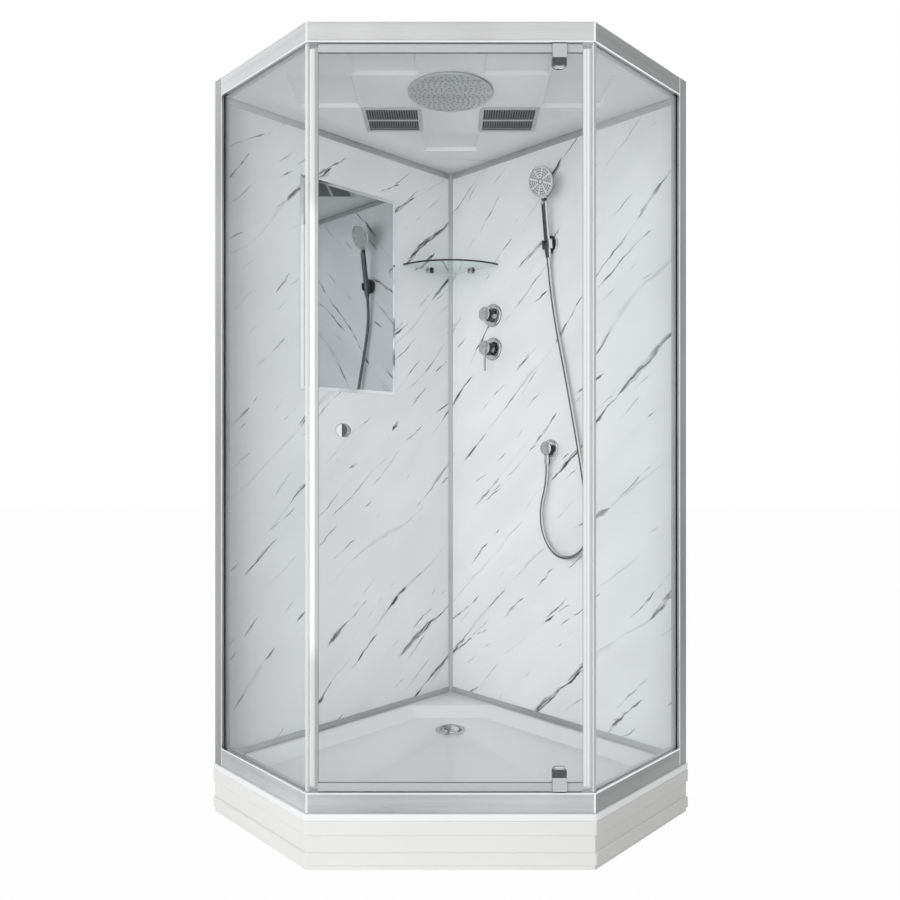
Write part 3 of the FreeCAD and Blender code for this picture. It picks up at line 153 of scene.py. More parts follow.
def bump(tree, height, strength, distance):
    inputs = {"Height": height, "Strength": strength, "Distance": distance}
    return addNode(tree, "Bump", inputs).outputs["Normal"]


# Fine skin texture of moulded parts
def skinBump(tree, scale=350, depth=0.00005):
    return bump(tree, noise(tree, scale, detail=3), 0.15, depth)


def principled(tree, **inputs):
    names = {"colour": "Base Color", "rough": "Roughness", "metal": "Metallic", "normal": "Normal",
             "coat": "Coat Weight", "coatRough": "Coat Roughness", "clear": "Transmission Weight", "ior": "IOR"}
    shader = addNode(tree, "BsdfPrincipled", {names[key]: value for key, value in inputs.items()})
    tree.links.new(shader.outputs[0], tree.nodes["Output"].inputs["Surface"])
    return shader


# The first shader, and the second by the share of the factor, on an output node
def showBoth(tree, output, factor, first, second):
    both = addNode(tree, "MixShader", {0: factor, 1: first.outputs[0], 2: second.outputs[0]})
    tree.links.new(both.outputs[0], output.inputs["Surface"])


# Glass that lets the lamps through, so that what it shuts in isn't left dark
def glassShader(tree, colour, light, ior):
    glass = principled(tree, colour=colour, clear=1.0, rough=0.0, ior=ior)
    passing = addNode(tree, "BsdfTransparent", {"Color": (*light, 1)})
    shadow = addNode(tree, "LightPath").outputs["Is Shadow Ray"]
    showBoth(tree, tree.nodes["Output"], shadow, glass, passing)


# Rays that reach the eye straight, by a mirror or through a pane
def seenRays(tree):
    path = addNode(tree, "LightPath").outputs
    seen = mathNode(tree, "MAXIMUM", path["Is Camera Ray"], path["Is Glossy Ray"])
    return mathNode(tree, "MAXIMUM", seen, path["Is Transmission Ray"])


# Finishes

# Make a function that fills a tree into one that is called with a name and gives the material
def finishing(fill):
    def made(name, *values, **settings):
        material, tree = newMaterial(name)
        fill(tree, *values, **settings)
        return material
    return made


brushed = {
    "colour": (0.56, 0.565, 0.57), "rough": (0.24, 0.36), "grain": 900, "stretch": 0.012,
    "metal": 0.45, "bands": 38, "cloud": 1.9, "bump": (0.12, 0.00003),
    # share of each noise in the tone, and the tones: (place, brightness)
    "grainShare": 0.2, "bandShare": 0.3, "cloudShare": 0.5, "tones": ((0.36, 0.76), (0.62, 1.2)),
    # painted shade: brightness by how far a face is turned to the right
    "side": ((0.0, 1.0), (0.45, 0.95), (0.75, 0.45), (1.0, 0.45)),
    "post": ((0.0, 0.60), (0.45, 0.60), (0.75, 0.45), (1.0, 0.42)),
}


# Metal with a fine grain along one direction, and painted shade on faces turned to the right
@finishing
def brushedMetal(tree, turn=0.0, upright=False, colour=brushed["colour"], mirrored=False, dim="side"):
    along = brushed["stretch"]
    point = objectPoint(tree)
    if mirrored:
        split = addNode(tree, "SeparateXYZ", {0: point}).outputs
        sides = {"X": absolute(tree, split["X"]), "Y": split["Y"], "Z": split["Z"]}
        point = addNode(tree, "CombineXYZ", sides).outputs[0]
    point = mapped(tree, point, turn=(0, 0, -turn))
    point = mapped(tree, point, (1, 1, along) if upright else (along, 1, 1))
    grain = noise(tree, brushed["grain"], detail=3, point=point)
    cloud = noise(tree, brushed["cloud"])
    bands = noise(tree, brushed["bands"], point=point)
    level = times(tree, cloud, brushed["cloudShare"])
    level = mathNode(tree, "MULTIPLY_ADD", grain, brushed["grainShare"], level)
    level = mathNode(tree, "MULTIPLY_ADD", bands, brushed["bandShare"], level)
    shade = rampNode(tree, level, [(place, dimmed(colour, bright)) for place, bright in brushed["tones"]])
    # painted shade: darker where a face turns to the right
    if dim:
        side = greyRamp(tree, axes(tree, "Normal")["X"], brushed[dim])
        shade = mixed(tree, 1.0, shade, side, "MULTIPLY")
    principled(tree, colour=shade, metal=brushed["metal"], rough=ranged(tree, level, 0.3, 0.7, *brushed["rough"]),
               normal=bump(tree, grain, *brushed["bump"]))


# Painted reflections on chrome, a tone by the way it faces: the way, and (share of the turn towards it, brightness)
paintedReflections = {
    "round": ((1.0, 0.0, -0.25), (
        (0.0, 0.05), (0.06, 0.08), (0.11, 0.62), (0.28, 0.85), (0.34, 0.12), (0.4, 0.85), (0.6, 0.92), (0.67, 0.35),
        (0.72, 0.03), (0.86, 0.06), (0.91, 0.9), (1.0, 0.3))),
    "flat": ((0.0, 0.0, 1.0), (
        (0.0, 0.95), (0.16, 0.75), (0.3, 0.08), (0.44, 0.14), (0.49, 0.6), (0.51, 0.6), (0.56, 0.14), (0.7, 0.08),
        (0.84, 0.75), (1.0, 0.95))),
    "line": ((1.0, 0.0, 0.1), (
        (0.0, 0.3), (0.12, 0.12), (0.26, 0.33), (0.36, 0.85), (0.55, 0.95), (0.68, 0.6), (0.82, 0.45), (0.92, 0.75),
        (1.0, 0.4))),
    "handle": ((1.0, 0.0, 0.1), (
        (0.0, 0.3), (0.08, 0.07), (0.42, 0.10), (0.54, 0.22), (0.61, 0.9), (0.8, 0.95), (0.9, 0.5), (1.0, 0.2))),
    "rim": ((1.0, 0.0, 0.8), (
        (0.0, 0.75), (0.3, 0.9), (0.5, 0.8), (0.66, 0.5), (0.76, 0.06), (0.9, 0.1), (0.95, 0.6), (1.0, 0.15))),
    "half": ((1.0, 0.0, 0.1), ((0.0, 0.3), (0.3, 0.10), (0.6, 0.14), (0.8, 0.5), (1.0, 0.2))),
}
polished = {"marks": 45, "range": (0.35, 0.75), "gloss": (0.7, 1.8), "cloud": 12, "cloudTone": 0.96,
            "bump": (0.02, 0.0002)}


# Brightness of the painted reflections along one row of the table of tones
def paintedReflectionTone(tree, row):
    way, stops = paintedReflections[row]
    length = sqrt(sum(part * part for part in way))
    turned = addNode(tree, "VectorMath", {0: addNode(tree, "TexCoord").outputs["Normal"],
                                          1: tuple(part / length for part in way)}, operation="DOT_PRODUCT")
    return greyRamp(tree, shareOf(tree, turned.outputs["Value"]), stops)


# Chrome with faint water marks and the painted reflection bands of a polished round; beyond (axis, place, row) it
# takes another row's
@finishing
def polishedMetal(tree, colour, rough=0.06, row=None, beyond=None):
    marks = noise(tree, polished["marks"], detail=4)
    spread = ranged(tree, marks, *polished["range"], *dimmed(polished["gloss"], rough))
    tone = rampNode(tree, noise(tree, polished["cloud"]),
                    [(0.35, dimmed(colour, polished["cloudTone"])), (0.65, colour)])
    if row:
        # painted reflections: brightness by the way the faces turn
        bands = paintedReflectionTone(tree, row)
        if beyond:
            axis, place, otherRow = beyond
            past = mathNode(tree, "GREATER_THAN", axes(tree)[axis], place)
            bands = mixed(tree, past, bands, paintedReflectionTone(tree, otherRow))
        tone = mixed(tree, 1.0, tone, bands, "MULTIPLY")
    principled(tree, colour=tone, metal=1.0, rough=spread, normal=bump(tree, marks, *polished["bump"]))


# Moulded plastic with a fine skin and a little cloud in its tone, and painted shade by "side" where it faces right
@finishing
def mouldedPlastic(tree, colour, rough=0.35, depth=0.00005, gloss=0.0, vary=0.03, side=None):
    cloud = noise(tree, 2.3, detail=3)
    tone = rampNode(tree, cloud, [(0.1, dimmed(colour, 1 - vary)), (0.9, colour)])
    # painted shade on faces turned to the right
    if side:
        level = ranged(tree, axes(tree, "Normal")["X"], 0.2, 0.7, 1.0, side)
        tone = mixed(tree, 1.0, tone, greyRamp(tree, level, ((0.0, 0.0), (1.0, 1.0))), "MULTIPLY")
    principled(tree, colour=tone, rough=ranged(tree, cloud, 0.1, 0.9, rough * 0.85, rough * 1.15), coat=gloss,
               coatRough=0.05, normal=skinBump(tree, depth=depth))


# Clear glass: its colour, and the colour of the lamps' light behind it
@finishing
def clearPane(tree, tint, light, ior=1.45):
    marks = noise(tree, 7, detail=3)
    glassShader(tree, clouded(tree, marks, dimmed(tint, 0.995), tint), light, ior)


marble = {
    "angle": 41, "vein": (0.025, 0.029, 0.036), "cloudScale": 2.2, "cloudStretch": (1, 1, 3),
    "clouds": ((0.35, (0.80, 0.808, 0.822)), (0.6, (0.86, 0.865, 0.875))),
    # (noise scale, how far it bends the veins)
    "bends": ((1.1, 0.05), (8.0, 0.020), (30.0, 0.010), (85.0, 0.004), (230.0, 0.0022)),
    # lines in a metre, bend along, across and how far, seed, dark stretches along, across, from, to, width, weight
    "layers": ((5.5, 0.8, 1.6, 2.4, 0.0, 3.0, 7.0, 0.52, 0.63, 0.0100, 1.0),
               (5.5, 0.8, 1.6, 2.4, 0.0, 2.2, 5.0, 0.48, 0.70, 0.0120, 0.22),
               (8.0, 1.0, 2.4, 2.0, 3.7, 3.4, 9.0, 0.55, 0.66, 0.0076, 1.0),
               (12.0, 1.4, 3.0, 1.5, 8.1, 4.6, 12.0, 0.54, 0.68, 0.0038, 0.8)),
    "thinnest": 0.00004, "firmness": 1.8,
    # breaks in the veins: stretch of their noise, its range, and the strength left at both ends
    "fibres": (16, 1, 170), "breaks": (0.38, 0.56, 0.12, 1.0),
    # y + |x| of the veined faces, half the width of both walls, and the painted shade across it
    "inner": 0.4745, "edge": 0.6600,
    "paintedEdgeShade": ((0.0, 0.48), (0.012, 0.50), (0.03, 0.66), (0.045, 0.78), (0.075, 0.88), (0.11, 0.95), (0.15, 1.0),
                  (0.95, 1.0), (0.975, 0.93), (1.0, 0.80)),
}


# Strength of one layer of veins
def veinLayer(tree, point, beside, layer):
    count, bendLong, bendCross, bendSize, seed, darkLong, darkCross, low, high, width, weight = layer
    bent = mapped(tree, point, (bendLong, 1, bendCross), shift=(seed, 0, seed))
    bend = times(tree, noise(tree, 1.0, point=bent), bendSize)
    place = mathNode(tree, "FRACT", mathNode(tree, "MULTIPLY_ADD", beside, count, bend))
    away = absolute(tree, mathNode(tree, "SUBTRACT", place, 0.5))
    away = mathNode(tree, "DIVIDE", away, count)
    spread = mapped(tree, point, (darkLong, 1, darkCross), shift=(seed + 5, 0, seed + 2))
    dark = noise(tree, 1.0, detail=3, roughness=0.6, point=spread)
    reach = ranged(tree, dark, low, high, marble["thinnest"], width)
    line = mathNode(tree, "SUBTRACT", 1.0, mathNode(tree, "DIVIDE", away, reach))
    line = addNode(tree, "Clamp", {0: times(tree, line, marble["firmness"])}).outputs[0]
    return times(tree, line, weight)


# Marble print: thin broken dark veins, all rising to the right, and painted shade beside the posts
@finishing
def marblePanel(tree):
    split = axes(tree)
    along = times(tree, split["X"], sqrt(2))
    flat = addNode(tree, "CombineXYZ", {"X": along, "Z": split["Z"]}).outputs[0]
    point = mapped(tree, flat, turn=(0, radians(marble["angle"]), 0))
    for scale, size in marble["bends"]:
        wobble = addNode(tree, "TexNoise", {"Vector": point, "Scale": scale, "Detail": 2.0}).outputs["Color"]
        for operation, value in (("SUBTRACT", (0.5, 0.5, 0.5)), ("MULTIPLY", (size, size, size))):
            wobble = addNode(tree, "VectorMath", {0: wobble, 1: value}, operation=operation).outputs[0]
        point = addNode(tree, "VectorMath", {0: point, 1: wobble}, operation="ADD").outputs[0]
    beside = addNode(tree, "SeparateXYZ", {0: point}).outputs["Z"]
    veins, *others = [veinLayer(tree, point, beside, layer) for layer in marble["layers"]]
    for other in others:
        veins = mathNode(tree, "MAXIMUM", veins, other)
    fibres = noise(tree, 1.0, point=mapped(tree, point, marble["fibres"]))
    veins = times(tree, veins, ranged(tree, fibres, *marble["breaks"]))
    clouds = noise(tree, marble["cloudScale"], detail=5, point=mapped(tree, point, marble["cloudStretch"]))
    ground = rampNode(tree, clouds, marble["clouds"])
    # painted shade: darker beside the posts
    reach = ranged(tree, split["X"], -marble["edge"], marble["edge"])
    ground = mixed(tree, 1.0, ground, greyRamp(tree, reach, marble["paintedEdgeShade"]), "MULTIPLY")
    depth = mathNode(tree, "ADD", split["Y"], absolute(tree, split["X"]))
    veins = times(tree, veins, mathNode(tree, "LESS_THAN", depth, marble["inner"]))
    colour = mixed(tree, veins, ground, (*marble["vein"], 1))
    principled(tree, colour=colour, rough=0.16, coat=0.3, coatRough=0.04)


grille = {"centre": (0.1825, -0.02425), "field": (0.080, 0.0765), "bar": 0.0045,
          "frame": ((0.50, 0.515, 0.52), (0.58, 0.59, 0.6)), "slats": ((0.15, 0.155, 0.16), (0.2, 0.205, 0.21))}


# Grey plastic with dark slats inside a pale frame
@finishing
def grillePlastic(tree):
    split = axes(tree)
    across = mathNode(tree, "SUBTRACT", absolute(tree, split["X"]), grille["centre"][0])
    across = absolute(tree, across)
    along = absolute(tree, mathNode(tree, "SUBTRACT", split["Y"], grille["centre"][1]))
    field = mathNode(tree, "LESS_THAN", across, grille["field"][0])
    field = times(tree, field, mathNode(tree, "LESS_THAN", along, grille["field"][1]))
    field = times(tree, field, mathNode(tree, "GREATER_THAN", along, grille["bar"]))
    cloud = noise(tree, 14, detail=3)
    colour = mixed(tree, field, clouded(tree, cloud, *grille["frame"]), clouded(tree, cloud, *grille["slats"]))
    principled(tree, colour=colour, rough=0.4, normal=skinBump(tree))


# Tones of a moulded strip, with a trace of green
def sealTones(tree, share, stops):
    return rampNode(tree, share, [(place, (level, level * 1.005, level)) for place, level in stops])


# The door seals' width, the middle of their painted bright height, and where they start and end fading into painted
# shade
edgeStrip = {"from": 0.3405, "to": 0.3645, "middle": 1.13, "bright": (0.55, 0.60), "ends": 0.76}


# Strip on either side of the door, with painted highlights and shade across its width, and painted shade towards
# its ends
@finishing
def linedSeal(tree, stops, ends=1.0):
    split = axes(tree)
    share = ranged(tree, absolute(tree, split["X"]), edgeStrip["from"], edgeStrip["to"])
    tone = sealTones(tree, share, stops)
    # painted shade: darker towards the top and bottom by "ends"
    height = absolute(tree, mathNode(tree, "SUBTRACT", split["Z"], edgeStrip["middle"]))
    fade = greyRamp(tree, ranged(tree, height, *edgeStrip["bright"], 1.0, ends), ((0.0, 0.0), (1.0, 1.0)))
    principled(tree, colour=mixed(tree, 1.0, tone, fade, "MULTIPLY"), rough=0.35)


# Strip between the door and the side glass, with painted light and shade by the way its faces turn
@finishing
def facedSeal(tree, stops):
    # painted light and shade by the way the faces turn
    share = shareOf(tree, axes(tree, "Normal")["X"])
    principled(tree, colour=sealTones(tree, share, stops), rough=0.35)


gasket = {"wallFrom": 0.655, "pale": ((0.50, 0.515, 0.52), (0.56, 0.575, 0.58)),
          "dark": ((0.03, 0.033, 0.036), (0.05, 0.054, 0.058))}


# Rubber strip, dark beside the wall posts and pale elsewhere
@finishing
def gasketRubber(tree):
    side = mathNode(tree, "GREATER_THAN", absolute(tree, axes(tree)["X"]), gasket["wallFrom"])
    cloud = noise(tree, 9.0, detail=3)
    colour = mixed(tree, side, clouded(tree, cloud, *gasket["pale"]), clouded(tree, cloud, *gasket["dark"]))
    principled(tree, colour=colour, rough=0.5, normal=skinBump(tree, scale=300))


# Galvanised steel with its patchwork of crystals
@finishing
def spangledZinc(tree):
    cells = addNode(tree, "TexVoronoi", {"Vector": objectPoint(tree), "Scale": 110.0})
    level = addNode(tree, "SeparateXYZ", {0: cells.outputs["Color"]}).outputs["X"]
    tone = rampNode(tree, level, [(0.1, (0.42, 0.44, 0.46)), (0.9, (0.62, 0.64, 0.66))])
    principled(tree, colour=tone, metal=1.0, rough=ranged(tree, cells.outputs["Distance"], 0.0, 1.0, 0.3, 0.5))


# Feed tube with a woven metal sleeve
@finishing
def braidedTube(tree):
    strands = [addNode(tree, "TexWave", {"Vector": objectPoint(tree, scale=(way, 1, 1)), "Scale": 130.0,
                                         "Distortion": 0.5}, bands_direction="DIAGONAL") for way in (1, -1)]
    weave = mathNode(tree, "MAXIMUM", *[strand.outputs["Fac"] for strand in strands])
    tone = rampNode(tree, weave, [(0.2, (0.25, 0.26, 0.27)), (0.9, (0.7, 0.71, 0.72))])
    principled(tree, colour=tone, metal=0.9, rough=0.35, normal=bump(tree, weave, 0.6, 0.0004))


# Bright silver with hardly visible cleaning marks
@finishing
def silveredMirror(tree):
    marks = noise(tree, 9, detail=4)
    tone = clouded(tree, marks, (0.565, 0.59, 0.60), (0.59, 0.617, 0.626))
    principled(tree, colour=tone, metal=1.0, rough=ranged(tree, marks, 0.3, 0.8, 0.0, 0.03))


shelfGlass = {"edge": ((0.0003, 0.0018, 0.0015), (0.0005, 0.0025, 0.0021)), "face": (0.86, 0.94, 0.92, 1),
              "light": (0.8, 0.9, 0.87)}


# Clear glass whose cut edges are dark green
@finishing
def edgedGlass(tree):
    flat = absolute(tree, axes(tree, "Normal")["Z"])
    marks = noise(tree, 30, detail=3)
    colour = mixed(tree, flat, clouded(tree, marks, *shelfGlass["edge"]), shelfGlass["face"])
    glassShader(tree, colour, shelfGlass["light"], ior=1.45)


chromeTone = (0.92, 0.93, 0.94)
knobMiddle = sum(corner[0] for corner in nodes["door_knobs"].bound_box) / 8
finish = {
    "white": mouldedPlastic("WhiteAcrylic", (0.88, 0.885, 0.89), rough=0.22, gloss=0.35, depth=0.00002),
    # The apron's colour, darker than the white acrylic, is painted shade, and "side" adds painted shade where it
    # faces right
    "apron": mouldedPlastic("ApronAcrylic", (0.80, 0.80, 0.785), rough=0.3, gloss=0.2, depth=0.00002, side=0.82),
    "zinc": spangledZinc("GalvanisedSteel"),
    # The rails and posts are one aluminium; their different colours are painted light and shade
    "front": brushedMetal("FrameFront", colour=(0.5, 0.505, 0.51)),
    "frontTop": brushedMetal("FrameFrontTop", colour=(0.595, 0.597, 0.6)),
    "left": brushedMetal("FrameLeft", turn=radians(-45)),
    "right": brushedMetal("FrameRight", turn=radians(45)),
    "post": brushedMetal("FramePost", upright=True, colour=(0.64, 0.645, 0.65), dim="post"),
    "trimWalls": brushedMetal("TrimWalls", turn=radians(-45), colour=(0.46, 0.47, 0.48), mirrored=True, dim=None),
    "trimCorner": brushedMetal("TrimCorner", upright=True, colour=(0.50, 0.51, 0.52), dim=None),
    "marble": marblePanel("MarblePanel"),
    # The side panes' tint, darker than the light they let through, is painted shade on what is seen through them
    "glass": clearPane("ClearGlass", (0.915, 0.937, 0.945), (0.952, 0.967, 0.971)),
    "door": clearPane("DoorGlass", (0.967, 0.972, 0.976), (0.962, 0.967, 0.971), ior=1.18),
    "shelf": edgedGlass("ShelfGlass"),
    "mirror": silveredMirror("MirrorSilver"),
    "gasket": gasketRubber("GasketRubber"),
    "seal": mouldedPlastic("ClearSeal", (0.50, 0.515, 0.515), rough=0.5, vary=0.08),
    "edgeSeal": facedSeal("EdgeSeal", (
        (0.0, 0.85), (0.08, 0.85), (0.12, 0.68), (0.5, 0.62), (0.88, 0.56), (0.92, 0.98), (1.0, 0.98))),
    "sealLeft": linedSeal("MagnetSeal", (
        (0.0, 0.45), (0.06, 0.55), (0.34, 0.50), (0.42, 0.78), (0.5, 0.86), (0.86, 0.90), (1.0, 0.90)),
        ends=edgeStrip["ends"]),
    "sealRight": linedSeal("PivotSeal", (
        (0.0, 0.45), (0.1, 0.74), (0.3, 0.82), (0.42, 0.6), (0.5, 0.82), (0.68, 0.76), (0.76, 0.5), (0.9, 0.68),
        (1.0, 0.45))),
    # Chrome, clamps, hose, handle and knobs carry painted reflections from the rows of the table
    "chrome": polishedMetal("PolishedChrome", chromeTone, row="round"),
    "clamp": polishedMetal("PlateChrome", chromeTone, row="flat"),
    "bright": polishedMetal("BrightEdge", (0.93, 0.94, 0.945), rough=0.12),
    "pin": brushedMetal("SteelPin", upright=True),
    "hose": polishedMetal("HoseChrome", (0.86, 0.87, 0.87), rough=0.14, row="line"),
    "handle": polishedMetal("HandleChrome", chromeTone, row="handle", beyond=("Z", 1.918, "rim")),
    # Door knobs: painted reflections, and painted shade on the half beyond their middle
    "knob": polishedMetal("KnobChrome", chromeTone, row="round", beyond=("X", knobMiddle, "half")),
    "spray": mouldedPlastic("SprayFace", (0.76, 0.77, 0.77), rough=0.25, vary=0.04),
    "nozzle": mouldedPlastic("NozzleRubber", (0.022, 0.024, 0.026), rough=0.5, vary=0.2),
    "rain": brushedMetal("RainPlate", colour=(0.56, 0.57, 0.58)),
    "rainNozzle": mouldedPlastic("RainNozzle", (0.31, 0.32, 0.325), rough=0.5, vary=0.2),
    "grille": grillePlastic("GrillePlastic"),
    "dark": mouldedPlastic("FanHousing", (0.035, 0.037, 0.04), rough=0.7, vary=0.3),
    "waste": mouldedPlastic("WastePlastic", (0.72, 0.72, 0.7), rough=0.45, vary=0.06),
    "brass": brushedMetal("ValveBrass", colour=(0.62, 0.46, 0.2)),
    "tube": braidedTube("BraidedTube"),
}
finishOf = {
    "white": "tray ceiling_panel",
    "apron": "apron_panel",
    "zinc": "apron_clips subframe_front subframe_left subframe_right levelling_feet foot_locknuts "
        "rail_corner_brackets",
    "front": "rail_bottom_front",
    "frontTop": "rail_top_front",
    "left": "rail_bottom_left rail_top_left",
    "right": "rail_bottom_right rail_top_right",
    "post": "wall_post_left wall_post_right back_post",
    "trimWalls": "wall_trims_bottom wall_trims_top",
    "trimCorner": "corner_profile",
    "marble": "wall_panel_left wall_panel_right",
    "glass": "side_glass_left side_glass_right",
    "door": "door_glass",
    "shelf": "corner_shelf",
    "mirror": "mirror",
    "gasket": "glass_gaskets",
    "edgeSeal": "side_edge_seals",
    "seal": "door_seal_left door_seal_right door_seal_top door_seal_bottom",
    "knob": "door_knobs",
    "chrome": "hinge_plates_outer hinge_plates_inner shelf_clamps valve_rosettes diverter_knob mixer_spindle "
        "mixer_handle wall_outlet hose_nut spray_button drain_flange drain_strainer drain_cover",
    "pin": "pivot_pins knob_screw",
    "hose": "shower_hose",
    "handle": "handset_body handset_holder",
    "spray": "handset_face",
    "rain": "rain_head",
    "grille": "ceiling_grilles",
    "waste": "waste_trap",
    "brass": "valve_bodies",
    "tube": "supply_pipes",
}
finished = [(key, name) for key, names in finishOf.items() for name in names.split()]
for key, name in finished:
    slots = nodes[name].data.materials
    slots.clear()
    slots.append(finish[key])
print("materials on", len(finished), "CAD nodes")


# Shape tools. The corner frame runs from the outer back corner along the two walls.

plan = {"side": 1.0, "shortSide": 0.4715, "backY": 0.525004, "panelFace": 0.038}


# Point from its distances along the left and the right wall, and its height
def cornerPoint(along, beside, height):
    return Vector(((beside - along) / sqrt(2), plan["backY"] - (along + beside) / sqrt(2), height))


# Point on the right wall from its distance out of it and along it
def wallPoint(out, along, height):
    return cornerPoint(plan["panelFace"] + out, plan["panelFace"] + along, height)


# Object in the scene with the data it shows
def addObject(name, data):
    item = bpy.data.objects.new(name, data)
    bpy.context.scene.collection.objects.link(item)
    return item


# Make an object from mesh data with its finish, riding on a body
def piece(name, mesh, material, body, smooth):
    item = addObject(name, mesh)
    mesh.materials.clear()
    mesh.materials.append(finish[material])
    if smooth:
        mesh.shade_smooth()
        bpy.context.view_layer.update()
        mesh.set_sharp_from_angle(angle=radians(smooth))
    if body:
        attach(item, body)
    return item


# Mesh data from points and faces, with its faces turned outwards
def meshFrom(name, points, faces):
    mesh = bpy.data.meshes.new(name)
    mesh.from_pydata([tuple(point) for point in points], [], faces)
    build = bmesh.new()
    build.from_mesh(mesh)
    bmesh.ops.recalc_face_normals(build, faces=build.faces)
    build.to_mesh(mesh)
    build.free()
    return mesh


def solid(name, shape, material, body, smooth=0):
    return piece(name, meshFrom(name, *shape), material, body, smooth)


# Mesh data of an object with its modifiers applied
def applied(item):
    bpy.context.view_layer.update()
    return bpy.data.meshes.new_from_object(item.evaluated_get(bpy.context.evaluated_depsgraph_get()))


def dropLayers(mesh, names):
    for found in [layer.name for layer in mesh.attributes if layer.name in names]:
        mesh.attributes.remove(mesh.attributes[found])


# Points and faces of a closed tube through rings of equal size, with flat ends
def skinned(rings):
    count = len(rings[0])
    points = [point for ring in rings for point in ring]
    faces = []
    for level in range(len(rings) - 1):
        for number in range(count):
            after = (number + 1) % count
            faces.append((level * count + number, level * count + after,
                          (level + 1) * count + after, (level + 1) * count + number))
    faces.append(tuple(range(count)))
    faces.append(tuple(range((len(rings) - 1) * count, len(rings) * count)))
    return points, faces


# Several lists of points and faces as one
def together(*parts):
    points, faces = [], []
    for somePoints, someFaces in parts:
        start = len(points)
        points += somePoints
        faces += [tuple(number + start for number in face) for face in someFaces]
    return points, faces


# Camera and hose

camera = {"place": (0, -2.53385, 1.0793), "lens": 31.576, "sensor": 36, "shift": -0.00071}
lens = bpy.data.cameras.new("Camera")
lens.lens = camera["lens"]
lens.sensor_width = camera["sensor"]
lens.shift_x = camera["shift"]
cameraItem = addObject("Camera", lens)
cameraItem.location = camera["place"]
cameraItem.rotation_euler = (pi / 2, 0, 0)
bpy.context.scene.camera = cameraItem

hose = {
    "radius": 0.007, "length": 1.43, "ribs": 200, "plain": 0.014, "sides": 20,
    # one rib: (share of its length, share of the radius)
    "shape": ((0, 1), (0.18, 0.886), (0.32, 0.886), (0.5, 0.95), (0.75, 1)),
    "route": ((0.0210, 0.485, 1.7241), (0.0101, 0.485, 1.6401), (0.013, 0.511, 1.500), (0.016, 0.548, 1.352),
              (0.019, 0.587, 1.182), (0.020, 0.619, 1.030), (0.020, 0.642, 0.895), (0.020, 0.650, 0.790),
              (0.020, 0.598, 0.727), (0.020, 0.517, 0.723), (0.020, 0.462, 0.790), (0.020, 0.451, 0.880),
              (0.020, 0.480, 0.970), (0.020, 0.480, 1.0307)),
    "bendFrom": 1.15, "bendTo": 1.70,
}


# Points along the hose's own smooth line, from the wall outlet to the hand shower
def routeLine():
    curve = bpy.data.curves.new("HoseRoute", "CURVE")
    curve.dimensions = "3D"
    curve.resolution_u = 40
    spline = curve.splines.new("NURBS")
    spline.points.add(len(hose["route"]) - 1)
    for point, (out, along, height) in zip(spline.points, reversed(hose["route"])):
        point.co = (*wallPoint(out, along, height), 1)
    spline.order_u = 3
    spline.use_endpoint_u = True
    item = addObject("HoseRoute", curve)
    mesh = bpy.data.meshes.new_from_object(item)
    line = [vertex.co.copy() for vertex in mesh.vertices]
    bpy.data.objects.remove(item)
    bpy.data.curves.remove(curve)
    bpy.data.meshes.remove(mesh)
    return line


# Places and directions at distances along a line of points
def alongLine(line, distances):
    found, start, number = [], 0.0, 0
    for distance in distances:
        while number < len(line) - 2 and distance > start + (line[number + 1] - line[number]).length:
            start += (line[number + 1] - line[number]).length
            number += 1
        step = line[number + 1] - line[number]
        found.append((line[number] + step * ((distance - start) / step.length), step.normalized()))
    return found


line = routeLine()
hoseLength = sum((second - first).length for first, second in zip(line, line[1:]))
pitch = (hoseLength - 2 * hose["plain"]) / hose["ribs"]
stations = [(0.0, 1.0)]
for rib in range(hose["ribs"]):
    stations += [(hose["plain"] + (rib + share) * pitch, size) for share, size in hose["shape"]]
stations.append((hoseLength, 1.0))
rings, across = [], None
turns = [2 * pi * side / hose["sides"] for side in range(hose["sides"])]
for (place, heading), (distance, size) in zip(alongLine(line, [station[0] for station in stations]), stations):
    across = heading.orthogonal().normalized() if across is None else across
    across = (across - heading * across.dot(heading)).normalized()
    other = heading.cross(across)
    radius = hose["radius"] * size
    rings.append([place + across * (radius * cos(turn)) + other * (radius * sin(turn)) for turn in turns])
hoseItem = solid("MetalHose", skinned(rings), "hose", None, smooth=50)
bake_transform(hoseItem, "root", "handset", line[-1] * 1.0 - Vector((0, 0, hose["bendTo"] - hose["bendFrom"])), line[-1])
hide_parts("shower_hose")
print("hose", round(hoseLength, 3), "m, rib pitch", round(1000 * pitch, 2), "mm")


# Frame profiles. Heights run from the foot of each rail, insets from the exposed sides of the tray.

rail = {
    "bottom": 0.147, "top": 2.126, "height": 0.052, "wallEnd": 0.040, "outer": 0.0055, "inner": 0.0355,
    "lip": 0.0016, "groove": 0.0007, "grooveAt": (0.0035, 0.0047), "slot": (0.0125, 0.0215), "slotDepth": 0.009,
    "footChamfer": 0.0008, "backChamfer": 0.001,
}


# Plan points of the exposed sides at an inset: left wall end, two corners, right wall end
def frontCorners(inset):
    edge = plan["side"] - inset
    turn = plan["shortSide"] - inset * (sqrt(2) - 1)
    end = rail["wallEnd"]
    return [(edge, end), (edge, turn), (turn, edge), (end, edge)]


